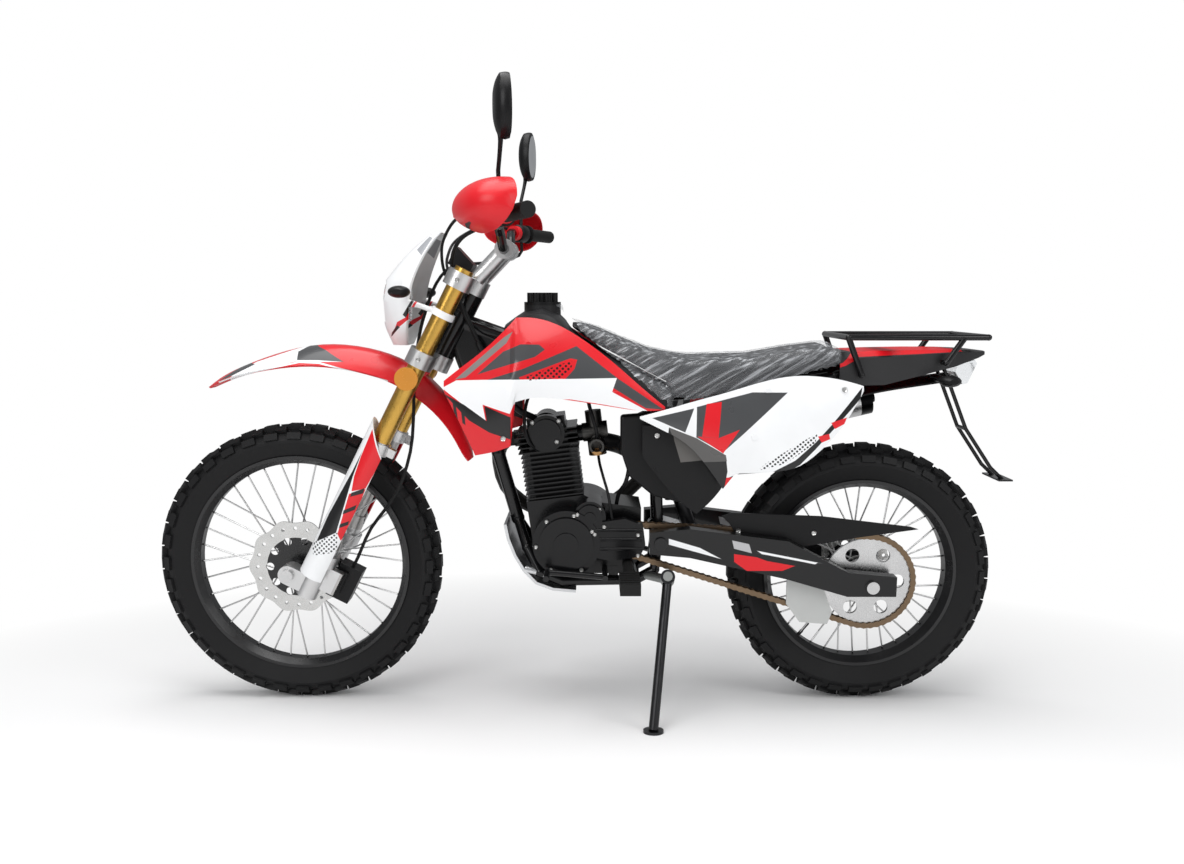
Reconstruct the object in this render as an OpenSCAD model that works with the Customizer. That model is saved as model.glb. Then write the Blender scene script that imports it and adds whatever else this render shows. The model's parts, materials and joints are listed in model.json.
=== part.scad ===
// Trail motorcycle, parked leaning on its side stand.
// Every piece is drawn on the upright bike: x to the rear, y to the rider's right, z up,
// with the ground at z = 0 and x = 0 half way between the axles. parked() then leans it.

/* [Stance] */
// Distance between the axles
wheelbase = 1391; // [1340:1:1440]
// Lean on the side stand, in degrees
lean_angle = 8.4; // [7:0.1:10]
// Rake of the fork, in degrees from upright
rake = 27.3; // [25:0.1:29]
// Axle ahead of the fork legs
axle_lead = 57; // [50:1:62]
// Steering axis behind the fork legs
clamp_offset = 28; // [24:1:34]
// Half distance between the fork legs
leg_half = 100; // [96:1:106]
// Swingarm pivot behind the middle of the wheelbase
pivot_x = 193; // [185:1:205]
// Swingarm pivot above the ground
pivot_z = 432; // [424:1:440]

/* [Wheels] */
// Front tyre radius to the tips of its knobs
front_r = 350; // [344:1:356]
// Front tyre width
front_tyre_w = 88; // [80:1:96]
// Front rim radius over its flanges
front_rim_r = 272; // [266:1:276]
// Rear tyre radius to the tips of its knobs
rear_r = 326; // [320:1:332]
// Rear tyre width
rear_tyre_w = 112; // [104:1:118]
// Rear rim radius over its flanges
rear_rim_r = 238; // [232:1:242]
// Depth of a rim
rim_depth = 20; // [16:1:24]
// Width of the front rim
front_rim_w = 50; // [44:1:56]
// Width of the rear rim
rear_rim_w = 66; // [60:1:72]
// Spokes in each wheel
spokes = 36; // [32:4:40]
// Spoke diameter
spoke_d = 4; // [3:0.5:5]
// Axle diameter
axle_d = 17; // [15:1:20]
// Radius of the front brake disc
front_disc_r = 118; // [110:1:122]
// Radius of the rear brake disc
rear_disc_r = 105; // [98:1:110]
// Thickness of a brake disc
disc_t = 4; // [3:0.5:5]

/* [Fork] */
// Diameter of the upper fork tubes
tube_d = 44; // [42:1:47]
// Diameter of the lower fork legs
leg_d = 35; // [32:1:37]
// Lower end of the upper tubes, along the fork from the axle
tube_low = 362; // [350:1:380]
// Underside of the upper clamp, along the fork from the axle
upper_clamp_low = 792; // [780:1:805]
// Underside of the lower clamp, along the fork from the axle
lower_clamp_low = 590; // [580:1:605]
// Thickness of a clamp
clamp_t = 38; // [34:1:42]
// Diameter of the steering stem
stem_d = 30; // [26:1:34]
// Outside diameter of the frame's head tube
head_tube_d = 56; // [50:1:62]

/* [Handlebar] */
// Diameter of the bar
bar_d = 22; // [22:0.5:26]
// Half width of the bar over its ends
bar_half = 405; // [390:1:420]
// Height of the grips
grip_z = 1174; // [1160:1:1190]
// Length of a grip
grip_l = 122; // [110:1:130]
// Diameter of a grip
grip_d = 33; // [31:1:36]

/* [Stand] */
// Side stand pivot behind the middle of the wheelbase
stand_x = 209; // [200:1:220]
// Side stand pivot out to the left
stand_y = 152; // [146:1:160]
// Side stand pivot above the ground
stand_z = 356; // [350:1:362]
// Foot ahead of the pivot
stand_lead = 40; // [34:1:48]
// Foot out to the left of the pivot
stand_reach = 143; // [138:1:150]
// Diameter of the stand's leg
stand_d = 22; // [18:1:26]
// Diameter of the stand's pivot pin
stand_pin_d = 12; // [10:1:14]

/* [Drive] */
// Pitch of the drive chain
chain_pitch = 15.875; // [15.5:0.125:16.5]
// Teeth on the rear sprocket
rear_teeth = 44; // [40:1:46]
// Teeth on the front sprocket
front_teeth = 14; // [13:1:15]
// Middle of the chain out to the left
chain_y = 84; // [80:1:86]
// Width of the chain over its plates
chain_w = 16; // [14:1:18]
// Height of a chain plate
link_h = 14.5; // [13:0.5:16]

/* [Body] */
// Thickness of the moulded panels
panel_t = 4; // [3:0.5:5]
// Half width of the seat
seat_half = 112; // [104:1:120]
// Half width of the tank
tank_half = 138; // [130:1:144]
// Diameter of the fuel cap
cap_d = 74; // [66:1:82]
// Diameter of the luggage rack's rods
rack_d = 14; // [12:1:16]
// Half width of the luggage rack
rack_half = 108; // [104:1:116]
// Height of the luggage rack
rack_z = 914; // [908:1:924]
// Diameter of the bolt holes in the rack's slats
rack_hole_d = 7; // [6:0.5:8]
// Diameter of the bolt holes for the number plate
plate_hole_d = 6; // [5:0.5:7]

/* [Hidden] */
$fn = 64;
// Overrun of every cut
over = 1;
// Radial running clearance of shafts and pins
running = 0.05;
fit = 2 * running;
// Gap between faces that turn past each other
turn_gap = 0.5;
// Gap between pieces that are near each other and don't touch
clear_gap = 6;
// Size of a weld ball over the tube it joins
weld_share = 1.06;
// One half
half_share = 0.5;

// Main places on the upright bike
front_axle_p = [-wheelbase / 2, 0, front_r];
rear_axle_p = [wheelbase / 2, 0, rear_r];
pivot_p = [pivot_x, 0, pivot_z];
steer_x = axle_lead + clamp_offset;
// Shift of the parked bike, so that the origin is under the middle of its box
park_x = -3;
park_y = grip_z * sin(lean_angle);
knob_size = [30, 24];
park_z = knob_size.y / 2 * sin(lean_angle);

// A place in the fork's own frame, x behind the axle and z along the fork, on the upright bike
function in_fork(p) = front_axle_p
  + [p.x * cos(rake) + p.z * sin(rake), p.y, p.z * cos(rake) - p.x * sin(rake)];
function on_stem(along) = in_fork([steer_x, 0, along]);
function unit(v) = v / norm(v);
function mix(a, b, t) = a + (b - a) * t;
function flip(p) = [p.x, -p.y, p.z];
// Outline points from shares of a box with the given corner and size
function outline(shares, corner, size) =
  [for (s = shares) [corner.x + s.x * size.x, corner.y + s.y * size.y]];
// Smooth curve through hand-set points
function curve_point(a, b, c, d, t) = (2 * b + (c - a) * t + (2 * a - 5 * b + 4 * c - d) * t ^ 2
  + (3 * b - a - 3 * c + d) * t ^ 3) / 2;
function curve(p, steps) = let (last = len(p) - 1) concat(
  [for (i = [0 : last - 1], k = [0 : steps - 1])
    curve_point(p[max(i - 1, 0)], p[i], p[i + 1], p[min(i + 2, last)], k / steps)],
  [p[last]]);
// Ring of points round a path point, for a swept tube
function ring(p, along, ref, r, sides) = let (u = unit(cross(ref, along)), v = unit(cross(along, u)))
  [for (k = [0 : sides - 1]) p + r * (cos(360 * k / sides) * u + sin(360 * k / sides) * v)];

module parked() {
  translate([park_x, park_y, park_z]) rotate([lean_angle, 0, 0]) children();
}

module fork_frame() {
  translate(front_axle_p) rotate([0, rake, 0]) children();
}

module on_right() {
  mirror([0, 1, 0]) children();
}

module both_sides() {
  children();
  on_right() children();
}

module lift(z) {
  translate([0, 0, z]) children();
}

// Upright plate of a side view outline, from y out to the left by its thickness
module side_plate(points, y, thick) {
  translate([0, -y, 0]) rotate([90, 0, 0]) linear_extrude(thick) polygon(points);
}

// Outline of a strip along side view points, thickened to the right of the way they go
function strip(points, thick) = let (last = len(points) - 1, inner = [for (i = [0 : last])
    let (v = points[min(i + 1, last)] - points[max(i - 1, 0)]) points[i] + thick * [v.y, -v.x] / norm(v)])
  concat(points, [for (i = [last : -1 : 0]) inner[i]]);

// Round piece on a cross axis through p, from y = from to y = to
module across(p, from, to, d) {
  translate([p.x, from, p.z]) rotate([-90, 0, 0]) cylinder(d = d, h = to - from);
}

module rod(p, q, d) {
  v = q - p;
  translate(p) rotate([0, acos(v.z / norm(v)), atan2(v.y, v.x)]) cylinder(d = d, h = norm(v));
}

// Tubes between points, with a weld ball at each bend
module pipe_run(points, d) {
  for (i = [0 : len(points) - 2]) rod(points[i], points[i + 1], d);
  for (i = [1 : 1 : len(points) - 2]) translate(points[i]) sphere(d = d * weld_share);
}

// Ring of a thin wall, from the points of its outer and its inner skin
function wall_ring(outer, inner) = concat(inner, [for (k = [len(outer) - 1 : -1 : 0]) outer[k]]);

// Solid skin over rings that have the same number of points and turn left about the way they go.
// A shell's rings run along the inside and back along the outside
module loft(rings, shell = false) {
  n = len(rings[0]);
  last = len(rings) - 1;
  points = [for (r = rings) each r];
  walls = [for (i = [0 : last - 1], j = [0 : n - 1]) let (a = i * n + j, b = i * n + (j + 1) % n)
    each [[a, a + n, b + n], [a, b + n, b]]];
  first_cap = shell
    ? [for (k = [0 : n / 2 - 2]) each [[k, k + 1, n - 2 - k], [k, n - 2 - k, n - 1 - k]]]
    : [[for (j = [0 : n - 1]) j]];
  last_cap = [for (face = first_cap) [for (j = [len(face) - 1 : -1 : 0]) last * n + face[j]]];
  polyhedron(points, concat(first_cap, walls, last_cap), convexity = 4);
}

module swept(path, d, ref, sides = 12) {
  last = len(path) - 1;
  loft([for (i = [0 : last])
    ring(path[i], path[min(i + 1, last)] - path[max(i - 1, 0)], ref, d / 2, sides)]);
}

// Thin panel on the left side. Each row of the table is one upright section, in shares of the
// panel's box: x, low z, high z, and how far out it stands at its low edge, middle and high edge.
panel_steps = 6;
function panel_ring(row, corner, size, y, depth, thick) =
  let (edge = [for (k = [0 : panel_steps]) let (t = k / panel_steps,
    out = mix(mix(row[3], row[4], t), mix(row[4], row[5], t), t))
    [y + out * depth, corner.y + mix(row[1], row[2], t) * size.y]])
  wall_ring([for (e = edge) [corner.x + row[0] * size.x, -e.x, e.y]],
    [for (e = edge) [corner.x + row[0] * size.x, thick - e.x, e.y]]);
module side_panel(rows, corner, size, y, depth, thick) {
  loft([for (row = rows) panel_ring(row, corner, size, y, depth, thick)], shell = true);
}

// Closed body, alike on both sides. Each row of the table is one upright section, in shares of the
// body's box: x, low z, high z, half width low down, half width at the shoulder.
function body_ring(row, corner, size, half) = let (x = corner.x + row[0] * size.x,
  low = corner.y + row[1] * size.y, high = corner.y + row[2] * size.y,
  side = [for (k = [0 : body_steps]) let (t = k / body_steps)
    [half * mix(row[3], row[4], t) * (1 - body_crown_share * t ^ 6), mix(low, high, 1 - (1 - t) ^ 2)]],
  top = high + half * body_rise_share)
  concat([for (s = side) [x, s.x, s.y]], [[x, 0, top]],
    [for (k = [body_steps : -1 : 0]) [x, -side[k].x, side[k].y]]);
body_steps = 5;
body_crown_share = 0.3;
body_rise_share = 0.05;
module body_loft(rows, corner, size, half) {
  loft([for (row = rows) body_ring(row, corner, size, half)]);
}

/* Wheels */

// Tyre: an oval carcass that carries rows of knobs, tilted out from the crown. Each row: place along the
// tread as a share of the pitch, and length and width of its knobs as shares
bead_gap = 0.2;
carcass_side = 5;
carcass_steps = 8;
carcass_mid_share = 0.45;
knob_h = 13;
knob_root = 4;
knob_pitches = 36;
knob_tilts = [0, 34, 64];
knob_shares = [[0, 1, 1], [0.5, 0.9, 0.68], [0.08, 1.1, 0.68]];
module tyre(r, rim_r, rim_w, w) {
  mid = mix(rim_r, r, carcass_mid_share);
  half = w / 2 - carcass_side;
  side = concat([[rim_r - rim_lip + rim_wall, rim_w / 2 - 2 * rim_wall],
    [rim_r, rim_w / 2 - rim_wall - bead_gap]],
    [for (k = [0 : carcass_steps - 1]) let (a = 90 * k / carcass_steps)
      [mid + (r - knob_h - mid) * sin(a), half * cos(a)]]);
  far = [for (i = [len(side) - 1 : -1 : 0]) [side[i].x, -side[i].y]];
  rotate([90, 0, 0]) rotate_extrude($fn = 120) polygon(concat(side, [[r - knob_h, 0]], far));
  for (row = [0 : len(knob_tilts) - 1], s = row == 0 ? [1] : [-1, 1], k = [0 : knob_pitches - 1])
    rotate([0, (k + knob_shares[row][0]) * 360 / knob_pitches, 0])
      knob(r, w, s * knob_tilts[row], [knob_size.x * knob_shares[row][1], knob_size.y * knob_shares[row][2]]);
}
// One knob on the round envelope of the tread, rooted in the carcass
module knob(r, w, tilt, size) {
  deep = knob_h + knob_root;
  translate([0, w / 2 * sin(tilt), r - w / 2 * (1 - cos(tilt))]) rotate([-tilt, 0, 0])
    translate([-size.x / 2, -size.y / 2, -deep]) cube([size.x, size.y, deep]);
}

hub_d = 46;
hub_half = 54;
boss_d = 66;
boss_half = 44;
flange_d = 96;
flange_t = 7;
flange_y = 31;
spoke_turn = 34;
spoke_stagger = 9;
rim_wall = 3;
rim_lip = 8;
rim_well_share = 0.45;
module wire_wheel(rim_r, rim_w) {
  rotate([90, 0, 0]) rim(rim_r, rim_w);
  difference() {
    union() {
      across([0, 0, 0], -hub_half, hub_half, hub_d);
      across([0, 0, 0], -boss_half, boss_half, boss_d);
      for (s = [-1, 1])
        across([0, 0, 0], s * flange_y - flange_t / 2, s * flange_y + flange_t / 2, flange_d);
    }
    across([0, 0, 0], -hub_half - over, hub_half + over, axle_d + fit);
  }
  for (k = [0 : spokes - 1]) spoke(k, rim_r);
}

module rim(r, w) {
  well = r - rim_depth;
  lip = r - rim_lip;
  rotate_extrude($fn = 120)
    polygon([[well, -w / 2 * rim_well_share], [lip, -w / 2], [r, -w / 2], [r, -w / 2 + rim_wall],
      [lip, -w / 2 + 2 * rim_wall], [well + rim_wall, -w / 2 * rim_well_share],
      [well + rim_wall, w / 2 * rim_well_share], [lip, w / 2 - 2 * rim_wall],
      [r, w / 2 - rim_wall], [r, w / 2], [lip, w / 2], [well, w / 2 * rim_well_share]]);
}

module spoke(k, rim_r) {
  side = k % 2 == 0 ? -1 : 1;
  lean = floor(k / 2) % 2 == 0 ? -1 : 1;
  at_rim = 360 * k / spokes;
  at_hub = at_rim + lean * spoke_turn;
  hub_r = (flange_d - flange_t) / 2;
  end_r = rim_r - rim_depth + rim_wall / 2;
  y = side * (flange_y + lean * spoke_stagger / 2);
  rod([hub_r * sin(at_hub), y, hub_r * cos(at_hub)], [end_r * sin(at_rim), 0, end_r * cos(at_rim)],
    spoke_d);
}

module front_tyre() {
  color("#1b1b1c") parked() translate(front_axle_p) tyre(front_r, front_rim_r, front_rim_w, front_tyre_w);
}

module rear_tyre() {
  color("#1b1b1c") parked() translate(rear_axle_p) tyre(rear_r, rear_rim_r, rear_rim_w, rear_tyre_w);
}

module front_wheel() {
  color("#262626") parked() translate(front_axle_p) wire_wheel(front_rim_r, front_rim_w);
}

module rear_wheel() {
  color("#262626") parked() translate(rear_axle_p) wire_wheel(rear_rim_r, rear_rim_w);
}

disc_waves = 10;
disc_wave = 4;
disc_step = 3;
disc_hole_d = 9;
disc_hole_r_share = 0.82;
disc_window_r_share = 0.56;
disc_window_d = 20;
module wave_disc(r) {
  linear_extrude(disc_t) difference() {
    polygon([for (a = [0 : disc_step : 360 - disc_step])
      (r - disc_wave + disc_wave * cos(disc_waves * a)) * [cos(a), sin(a)]]);
    circle(d = hub_d + fit);
    for (k = [0 : 2 * disc_waves - 1]) rotate(k * 180 / disc_waves)
      translate([r * disc_hole_r_share, 0]) circle(d = disc_hole_d);
    for (k = [0 : disc_waves - 1]) rotate(k * 360 / disc_waves)
      translate([r * disc_window_r_share, 0]) circle(d = disc_window_d);
  }
}

module front_disc() {
  color("#c4c6c8") parked() translate(front_axle_p - [0, boss_half, 0]) rotate([90, 0, 0])
    wave_disc(front_disc_r);
}

module rear_disc() {
  color("#c4c6c8") parked() translate(rear_axle_p + [0, boss_half, 0]) rotate([-90, 0, 0])
    wave_disc(rear_disc_r);
}

/* Drive */

front_sprocket_lead = 76;
front_sprocket_p = pivot_p - [front_sprocket_lead, 0, 0];
roller_d = 10;
sprocket_t = 7;
sprocket_gap = 0.6;
carrier_d = 90;
sprocket_windows = 6;
sprocket_window_d = 34;
sprocket_window_share = 0.7;
function pitch_r(teeth) = chain_pitch / (2 * sin(180 / teeth));
module rear_sprocket() {
  r = pitch_r(rear_teeth) - roller_d / 2 - sprocket_gap;
  color("#b9bbbd") parked() translate(rear_axle_p) difference() {
    union() {
      across([0, 0, 0], -chain_y - sprocket_t / 2, -chain_y + sprocket_t / 2, 2 * r);
      across([0, 0, 0], -chain_y, -boss_half, carrier_d);
    }
    across([0, 0, 0], -chain_y - sprocket_t, over - boss_half, hub_d + fit);
    for (k = [0 : sprocket_windows - 1]) rotate([0, k * 360 / sprocket_windows, 0])
      translate([r * sprocket_window_share, 0, 0])
      across([0, 0, 0], -chain_y - sprocket_t, over - boss_half, sprocket_window_d);
  }
}

// Chain: waisted plates on both sides of its rollers, placed by the length along its loop: round the
// rear sprocket, ahead, round the front one, and back
plate_t = 3;
plate_waist_share = 0.72;
run_v = front_sprocket_p - rear_axle_p;
run_to = atan2(run_v.z, run_v.x);
run_wrap = acos((pitch_r(rear_teeth) - pitch_r(front_teeth)) / norm(run_v));
run_arcs = [pitch_r(rear_teeth) * (360 - 2 * run_wrap), pitch_r(front_teeth) * 2 * run_wrap] * PI / 180;
run_l = norm(run_v) * sin(run_wrap);
chain_l = run_arcs[0] + run_arcs[1] + 2 * run_l;
links = 2 * round(chain_l / chain_pitch / 2);
function on_arc(centre, r, a, grow) = [centre.x, centre.z] + (r + grow) * [cos(a), sin(a)];
function on_rear(a, grow) = on_arc(rear_axle_p, pitch_r(rear_teeth), a, grow);
function on_front(a, grow) = on_arc(front_sprocket_p, pitch_r(front_teeth), a, grow);
function chain_point(s, grow) = let (low = run_to + run_wrap, high = run_to - run_wrap,
  t1 = s - run_arcs[0], t2 = t1 - run_l, t3 = t2 - run_arcs[1])
  t1 < 0 ? on_rear(low + s / run_arcs[0] * (360 - 2 * run_wrap), grow)
  : t2 < 0 ? mix(on_rear(high, grow), on_front(high, grow), t1 / run_l)
  : t3 < 0 ? on_front(high + t2 / run_arcs[1] * 2 * run_wrap, grow)
  : mix(on_front(low, grow), on_rear(low, grow), t3 / run_l);
function plate_edge(side) = [for (i = [0 : 2 * links - 1])
  chain_point(i * chain_l / links / 2, side * link_h / 2 * (i % 2 == 0 ? 1 : plate_waist_share))];
module drive_chain() {
  in = chain_y - chain_w / 2;
  color("#6b5a44") parked() {
    for (y = [in, in + chain_w - plate_t]) difference() {
      side_plate(plate_edge(1), y, plate_t);
      side_plate(plate_edge(-1), y - over, plate_t + 2 * over);
    }
    for (i = [0 : links - 1]) let (p = chain_point(i * chain_l / links, 0))
      across([p.x, 0, p.y], plate_t / 2 - in - chain_w, -in - plate_t / 2, roller_d);
  }
}

/* Swingarm */

swing_half = 118;
swing_t = 30;
swing_h = 70;
swing_nose = 26;
swing_end = 58;
swing_knee_share = 0.6;
swing_knee_high = 69;
swing_knee_low = 24;
swing_bridge = 84;
swing_bridge_d = 40;
axle_block_h = 48;
pivot_d = 20;
swing_in = swing_half - swing_t / 2;
swing_out = swing_half + swing_t / 2;
module swingarm() {
  knee = mix([pivot_p.x, pivot_p.z], [rear_axle_p.x, rear_axle_p.z], swing_knee_share);
  arm = [[pivot_p.x - swing_nose, pivot_p.z + swing_nose], [pivot_p.x + swing_h, pivot_p.z + swing_h / 2],
    [knee.x, knee.y + swing_knee_high], [rear_axle_p.x - swing_end, rear_axle_p.z + swing_h / 2],
    [rear_axle_p.x + swing_end, rear_axle_p.z + axle_block_h / 2],
    [rear_axle_p.x + swing_end, rear_axle_p.z - axle_block_h / 2],
    [rear_axle_p.x - swing_end, rear_axle_p.z - axle_block_h / 2], [knee.x, knee.y - swing_knee_low],
    [pivot_p.x + swing_h, pivot_p.z - swing_h / 2], [pivot_p.x - swing_nose, pivot_p.z - swing_nose]];
  color("#151515") parked() difference() {
    union() {
      both_sides() side_plate(arm, swing_in, swing_t);
      across(pivot_p + [swing_bridge, 0, 0], -swing_half, swing_half, swing_bridge_d);
    }
    across(pivot_p, -swing_out - over, swing_out + over, pivot_d + fit);
    across(rear_axle_p, -swing_out - over, swing_out + over, axle_d + fit);
  }
}

axle_head_d = 30;
axle_head_t = 9;
spacer_d = 28;
module rear_axle() {
  color("#8f9194") parked() axle(rear_axle_p, swing_in, swing_out);
}
module axle(p, in, out) {
  across(p, -out - axle_head_t, out + axle_head_t, axle_d);
  for (s = [-1, 1]) {
    across(p, s * (out + axle_head_t / 2) - axle_head_t / 2, s * (out + axle_head_t / 2) + axle_head_t / 2,
      axle_head_d);
    across(p, min(s * in, s * (hub_half + turn_gap)), max(s * in, s * (hub_half + turn_gap)), spacer_d);
  }
}

/* Frame */

backbone_d = 44;
down_d = 32;
cradle_d = 24;
rail_d = 22;
cradle_half = 78;
upright_half = 56;
rail_half = 80;
rail_half_rear = 58;
pivot_tube_d = 40;
pivot_tube_l = 30;
pivot_head_d = 30;
pivot_head = 7;
head_shares = [0.55, 0.34];
spine_p = [150, 0, 792];
down_p = [-200, 0, 626];
down_low_p = [-154, 0, 462];
cradle_spread_share = 0.7;
cradle_bend_p = [-128, -cradle_half * cradle_spread_share, 402];
cradle_low_p = [-96, -cradle_half, 346];
cradle_front_p = [-40, -cradle_half, 324];
cradle_rear_p = [138, -upright_half, 320];
upright_low_p = [184, -upright_half, 346];
upright_p = [pivot_p.x, -upright_half, pivot_p.z];
knee_p = [182, -upright_half, 770];
rail_mid_p = [430, -rail_half, 794];
rail_end_p = [868, -rail_half_rear, 858];
stay_low_p = [189, -upright_half, 560];
stay_high_p = [640, -mix(rail_half, rail_half_rear, half_share), 824.7];
// Gusset plates. Each corner: place up the head tube, and its share of the way to a tube's far end
gusset_y = 12;
gusset_t = 5;
gusset_shares = [[0.34, down_p, 0.068], [0.34, down_p, 0.8], [0.55, spine_p, 0.42], [0.55, spine_p, 0.033]];
head_low = on_stem(lower_clamp_low + clamp_t + turn_gap);
head_high = on_stem(upper_clamp_low - turn_gap);
module frame() {
  color("#141414") parked() difference() {
    union() {
      rod(head_low, head_high, head_tube_d);
      rod(mix(head_low, head_high, head_shares[0]), spine_p, backbone_d);
      pipe_run([mix(head_low, head_high, head_shares[1]), down_p, down_low_p], down_d);
      translate(spine_p) sphere(d = backbone_d * weld_share);
      translate(down_low_p) sphere(d = down_d * weld_share);
      both_sides() {
        pipe_run([down_low_p, cradle_bend_p, cradle_low_p, cradle_front_p, cradle_rear_p, upright_low_p,
          upright_p, knee_p, spine_p], cradle_d);
        rails(rail_d);
        translate(rail_end_p) sphere(d = rail_d * weld_share);
        rod(stay_low_p, stay_high_p, rail_d);
        across(pivot_p, -upright_half - pivot_tube_l / 2, pivot_tube_l / 2 - upright_half, pivot_tube_d);
        across(pivot_p, -swing_out - pivot_head, -swing_out - turn_gap, pivot_head_d);
        side_plate([for (s = gusset_shares) let (q = mix(mix(head_low, head_high, s[0]), s[1], s[2]))
          [q.x, q.z]], gusset_y, gusset_t);
      }
      across(pivot_p, -swing_out - turn_gap - over, swing_out + turn_gap + over, pivot_d);
      across(cradle_rear_p, -upright_half, upright_half, cradle_d);
      tail_tube(rail_d);
    }
    rod(on_stem(lower_clamp_low), on_stem(upper_clamp_low + clamp_t),
      stem_d + fit);
  }
}
// Seat rail on the left, and the cross tube between the rails' rear ends
module rails(d) {
  pipe_run([knee_p, rail_mid_p, rail_end_p], d);
}
// Place on the left rail's rear run
function rail_at(x) = mix(rail_mid_p, rail_end_p, (x - rail_mid_p.x) / (rail_end_p.x - rail_mid_p.x));
module tail_tube(d) {
  rod(rail_end_p, flip(rail_end_p), d);
}
// Frame tubes of one side that other pieces are notched round
module side_tubes() {
  pipe_run([cradle_front_p, cradle_rear_p, upright_low_p, upright_p, knee_p], cradle_d + fit);
  rails(rail_d + fit);
  rod(stay_low_p, stay_high_p, rail_d + fit);
}

/* Fork and steering */

clamp_wall = 11;
stem_boss_d = 60;
riser_half = 45;
riser_d = 38;
riser_h = 92;
bar_back = 28;
bar_clamp_d = 46;
bar_clamp_l = 40;
cap_over = 9;
upper_clamp_high = upper_clamp_low + clamp_t;
lower_clamp_high = lower_clamp_low + clamp_t;
bar_mid = in_fork([steer_x + bar_back, 0, upper_clamp_high + riser_h]);
// Plate of a clamp, bored for both fork tubes and the stem
module clamp_plate(low) {
  lift(low) linear_extrude(clamp_t) difference() {
    union() {
      for (s = [-1, 1]) translate([axle_lead, s * leg_half]) circle(d = tube_d + 2 * clamp_wall);
      translate([steer_x, 0]) circle(d = stem_boss_d);
      translate([axle_lead, -leg_half]) square([clamp_offset, 2 * leg_half]);
    }
    for (s = [-1, 1]) translate([axle_lead, s * leg_half]) circle(d = tube_d + fit);
  }
}

module upper_clamp() {
  color("#b4b6b8") parked() difference() {
    union() {
      fork_frame() clamp_plate(upper_clamp_low);
      both_sides() {
        rod(in_fork([steer_x, -riser_half, upper_clamp_high - over]), bar_mid - [0, riser_half, 0], riser_d);
        across(bar_mid, -riser_half - bar_clamp_l / 2, -riser_half + bar_clamp_l / 2, bar_clamp_d);
      }
    }
    across(bar_mid, -bar_half, bar_half, bar_d + fit);
    rod(on_stem(upper_clamp_low - over), on_stem(upper_clamp_high + over),
      stem_d + fit);
  }
}

stem_nut_d = 40;
stem_nut_h = 10;
module lower_clamp() {
  color("#b4b6b8") parked() fork_frame() {
    clamp_plate(lower_clamp_low);
    translate([steer_x, 0, lower_clamp_low])
      cylinder(d = stem_d, h = upper_clamp_high - lower_clamp_low + stem_nut_h);
    translate([steer_x, 0, upper_clamp_high]) cylinder(d = stem_nut_d, h = stem_nut_h);
  }
}

module at_legs() {
  fork_frame() both_sides() translate([axle_lead, -leg_half, 0]) children();
}

leg_in = 60;
collar_d = 54;
collar_h = 28;
collar_ear = [16, 18, 20];
module fork_tubes() {
  color("#c79a3c") parked() at_legs() difference() {
    union() {
      lift(tube_low) cylinder(d = tube_d, h = upper_clamp_high + cap_over - tube_low);
      lift(tube_low) cylinder(d = collar_d, h = collar_h);
      translate([0, -collar_ear.y / 2, tube_low + (collar_h - collar_ear.z) / 2])
        cube([collar_d / 2 + collar_ear.x, collar_ear.y, collar_ear.z]);
    }
    lift(tube_low - over) cylinder(d = leg_d + fit, h = leg_in + over);
  }
}

lug_d = 52;
lug_low = -30;
lug_high = 104;
lug_taper = 36;
lug_half = 20;
axle_boss_d = 46;
guard_seat_d = 70;
guard_seat_low = 60;
guard_seat_h = 30;
caliper_ear_back = 46;
caliper_ear = [22, 26, 58];
module fork_legs() {
  color("#9fa1a4") parked() difference() {
    union() {
      at_legs() {
        lift(lug_high) cylinder(d = leg_d, h = tube_low + leg_in - lug_high);
        lift(lug_low) cylinder(d = lug_d, h = lug_high - lug_low);
        lift(lug_high) cylinder(d1 = lug_d, d2 = leg_d + clear_gap, h = lug_taper);
        lift(guard_seat_low) cylinder(d = guard_seat_d, h = guard_seat_h);
        translate([-axle_lead, -lug_half, -axle_boss_d / 2]) cube([axle_lead, 2 * lug_half, axle_boss_d]);
      }
      both_sides() across(front_axle_p, -leg_half - lug_half, lug_half - leg_half, axle_boss_d);
      fork_frame() translate([axle_lead, -leg_half - caliper_ear.x / 2, 0])
        cube([caliper_ear_back + caliper_ear.y / 2, caliper_ear.x, caliper_ear.z]);
    }
    across(front_axle_p, -leg_half - lug_half - over, leg_half + lug_half + over, axle_d + fit);
  }
}

module front_axle() {
  color("#8f9194") parked() axle(front_axle_p, leg_half - lug_half, leg_half + lug_half);
}

guard_low = 25;
guard_high = 436;
guard_from = 120;
guard_wrap = 186;
guard_r = guard_seat_d / 2 + running + panel_t;
guard_slant = 50;
module fork_guards() {
  color("#e9e9ea") parked() at_legs() difference() {
    rotate(guard_from) rotate_extrude(angle = guard_wrap)
      translate([guard_r - panel_t, guard_low]) square([panel_t, guard_high - guard_low]);
    translate([-guard_r, 0, guard_high]) rotate([0, guard_slant, 0])
      translate([0, -2 * guard_r, 0]) cube(4 * guard_r);
  }
}

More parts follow.
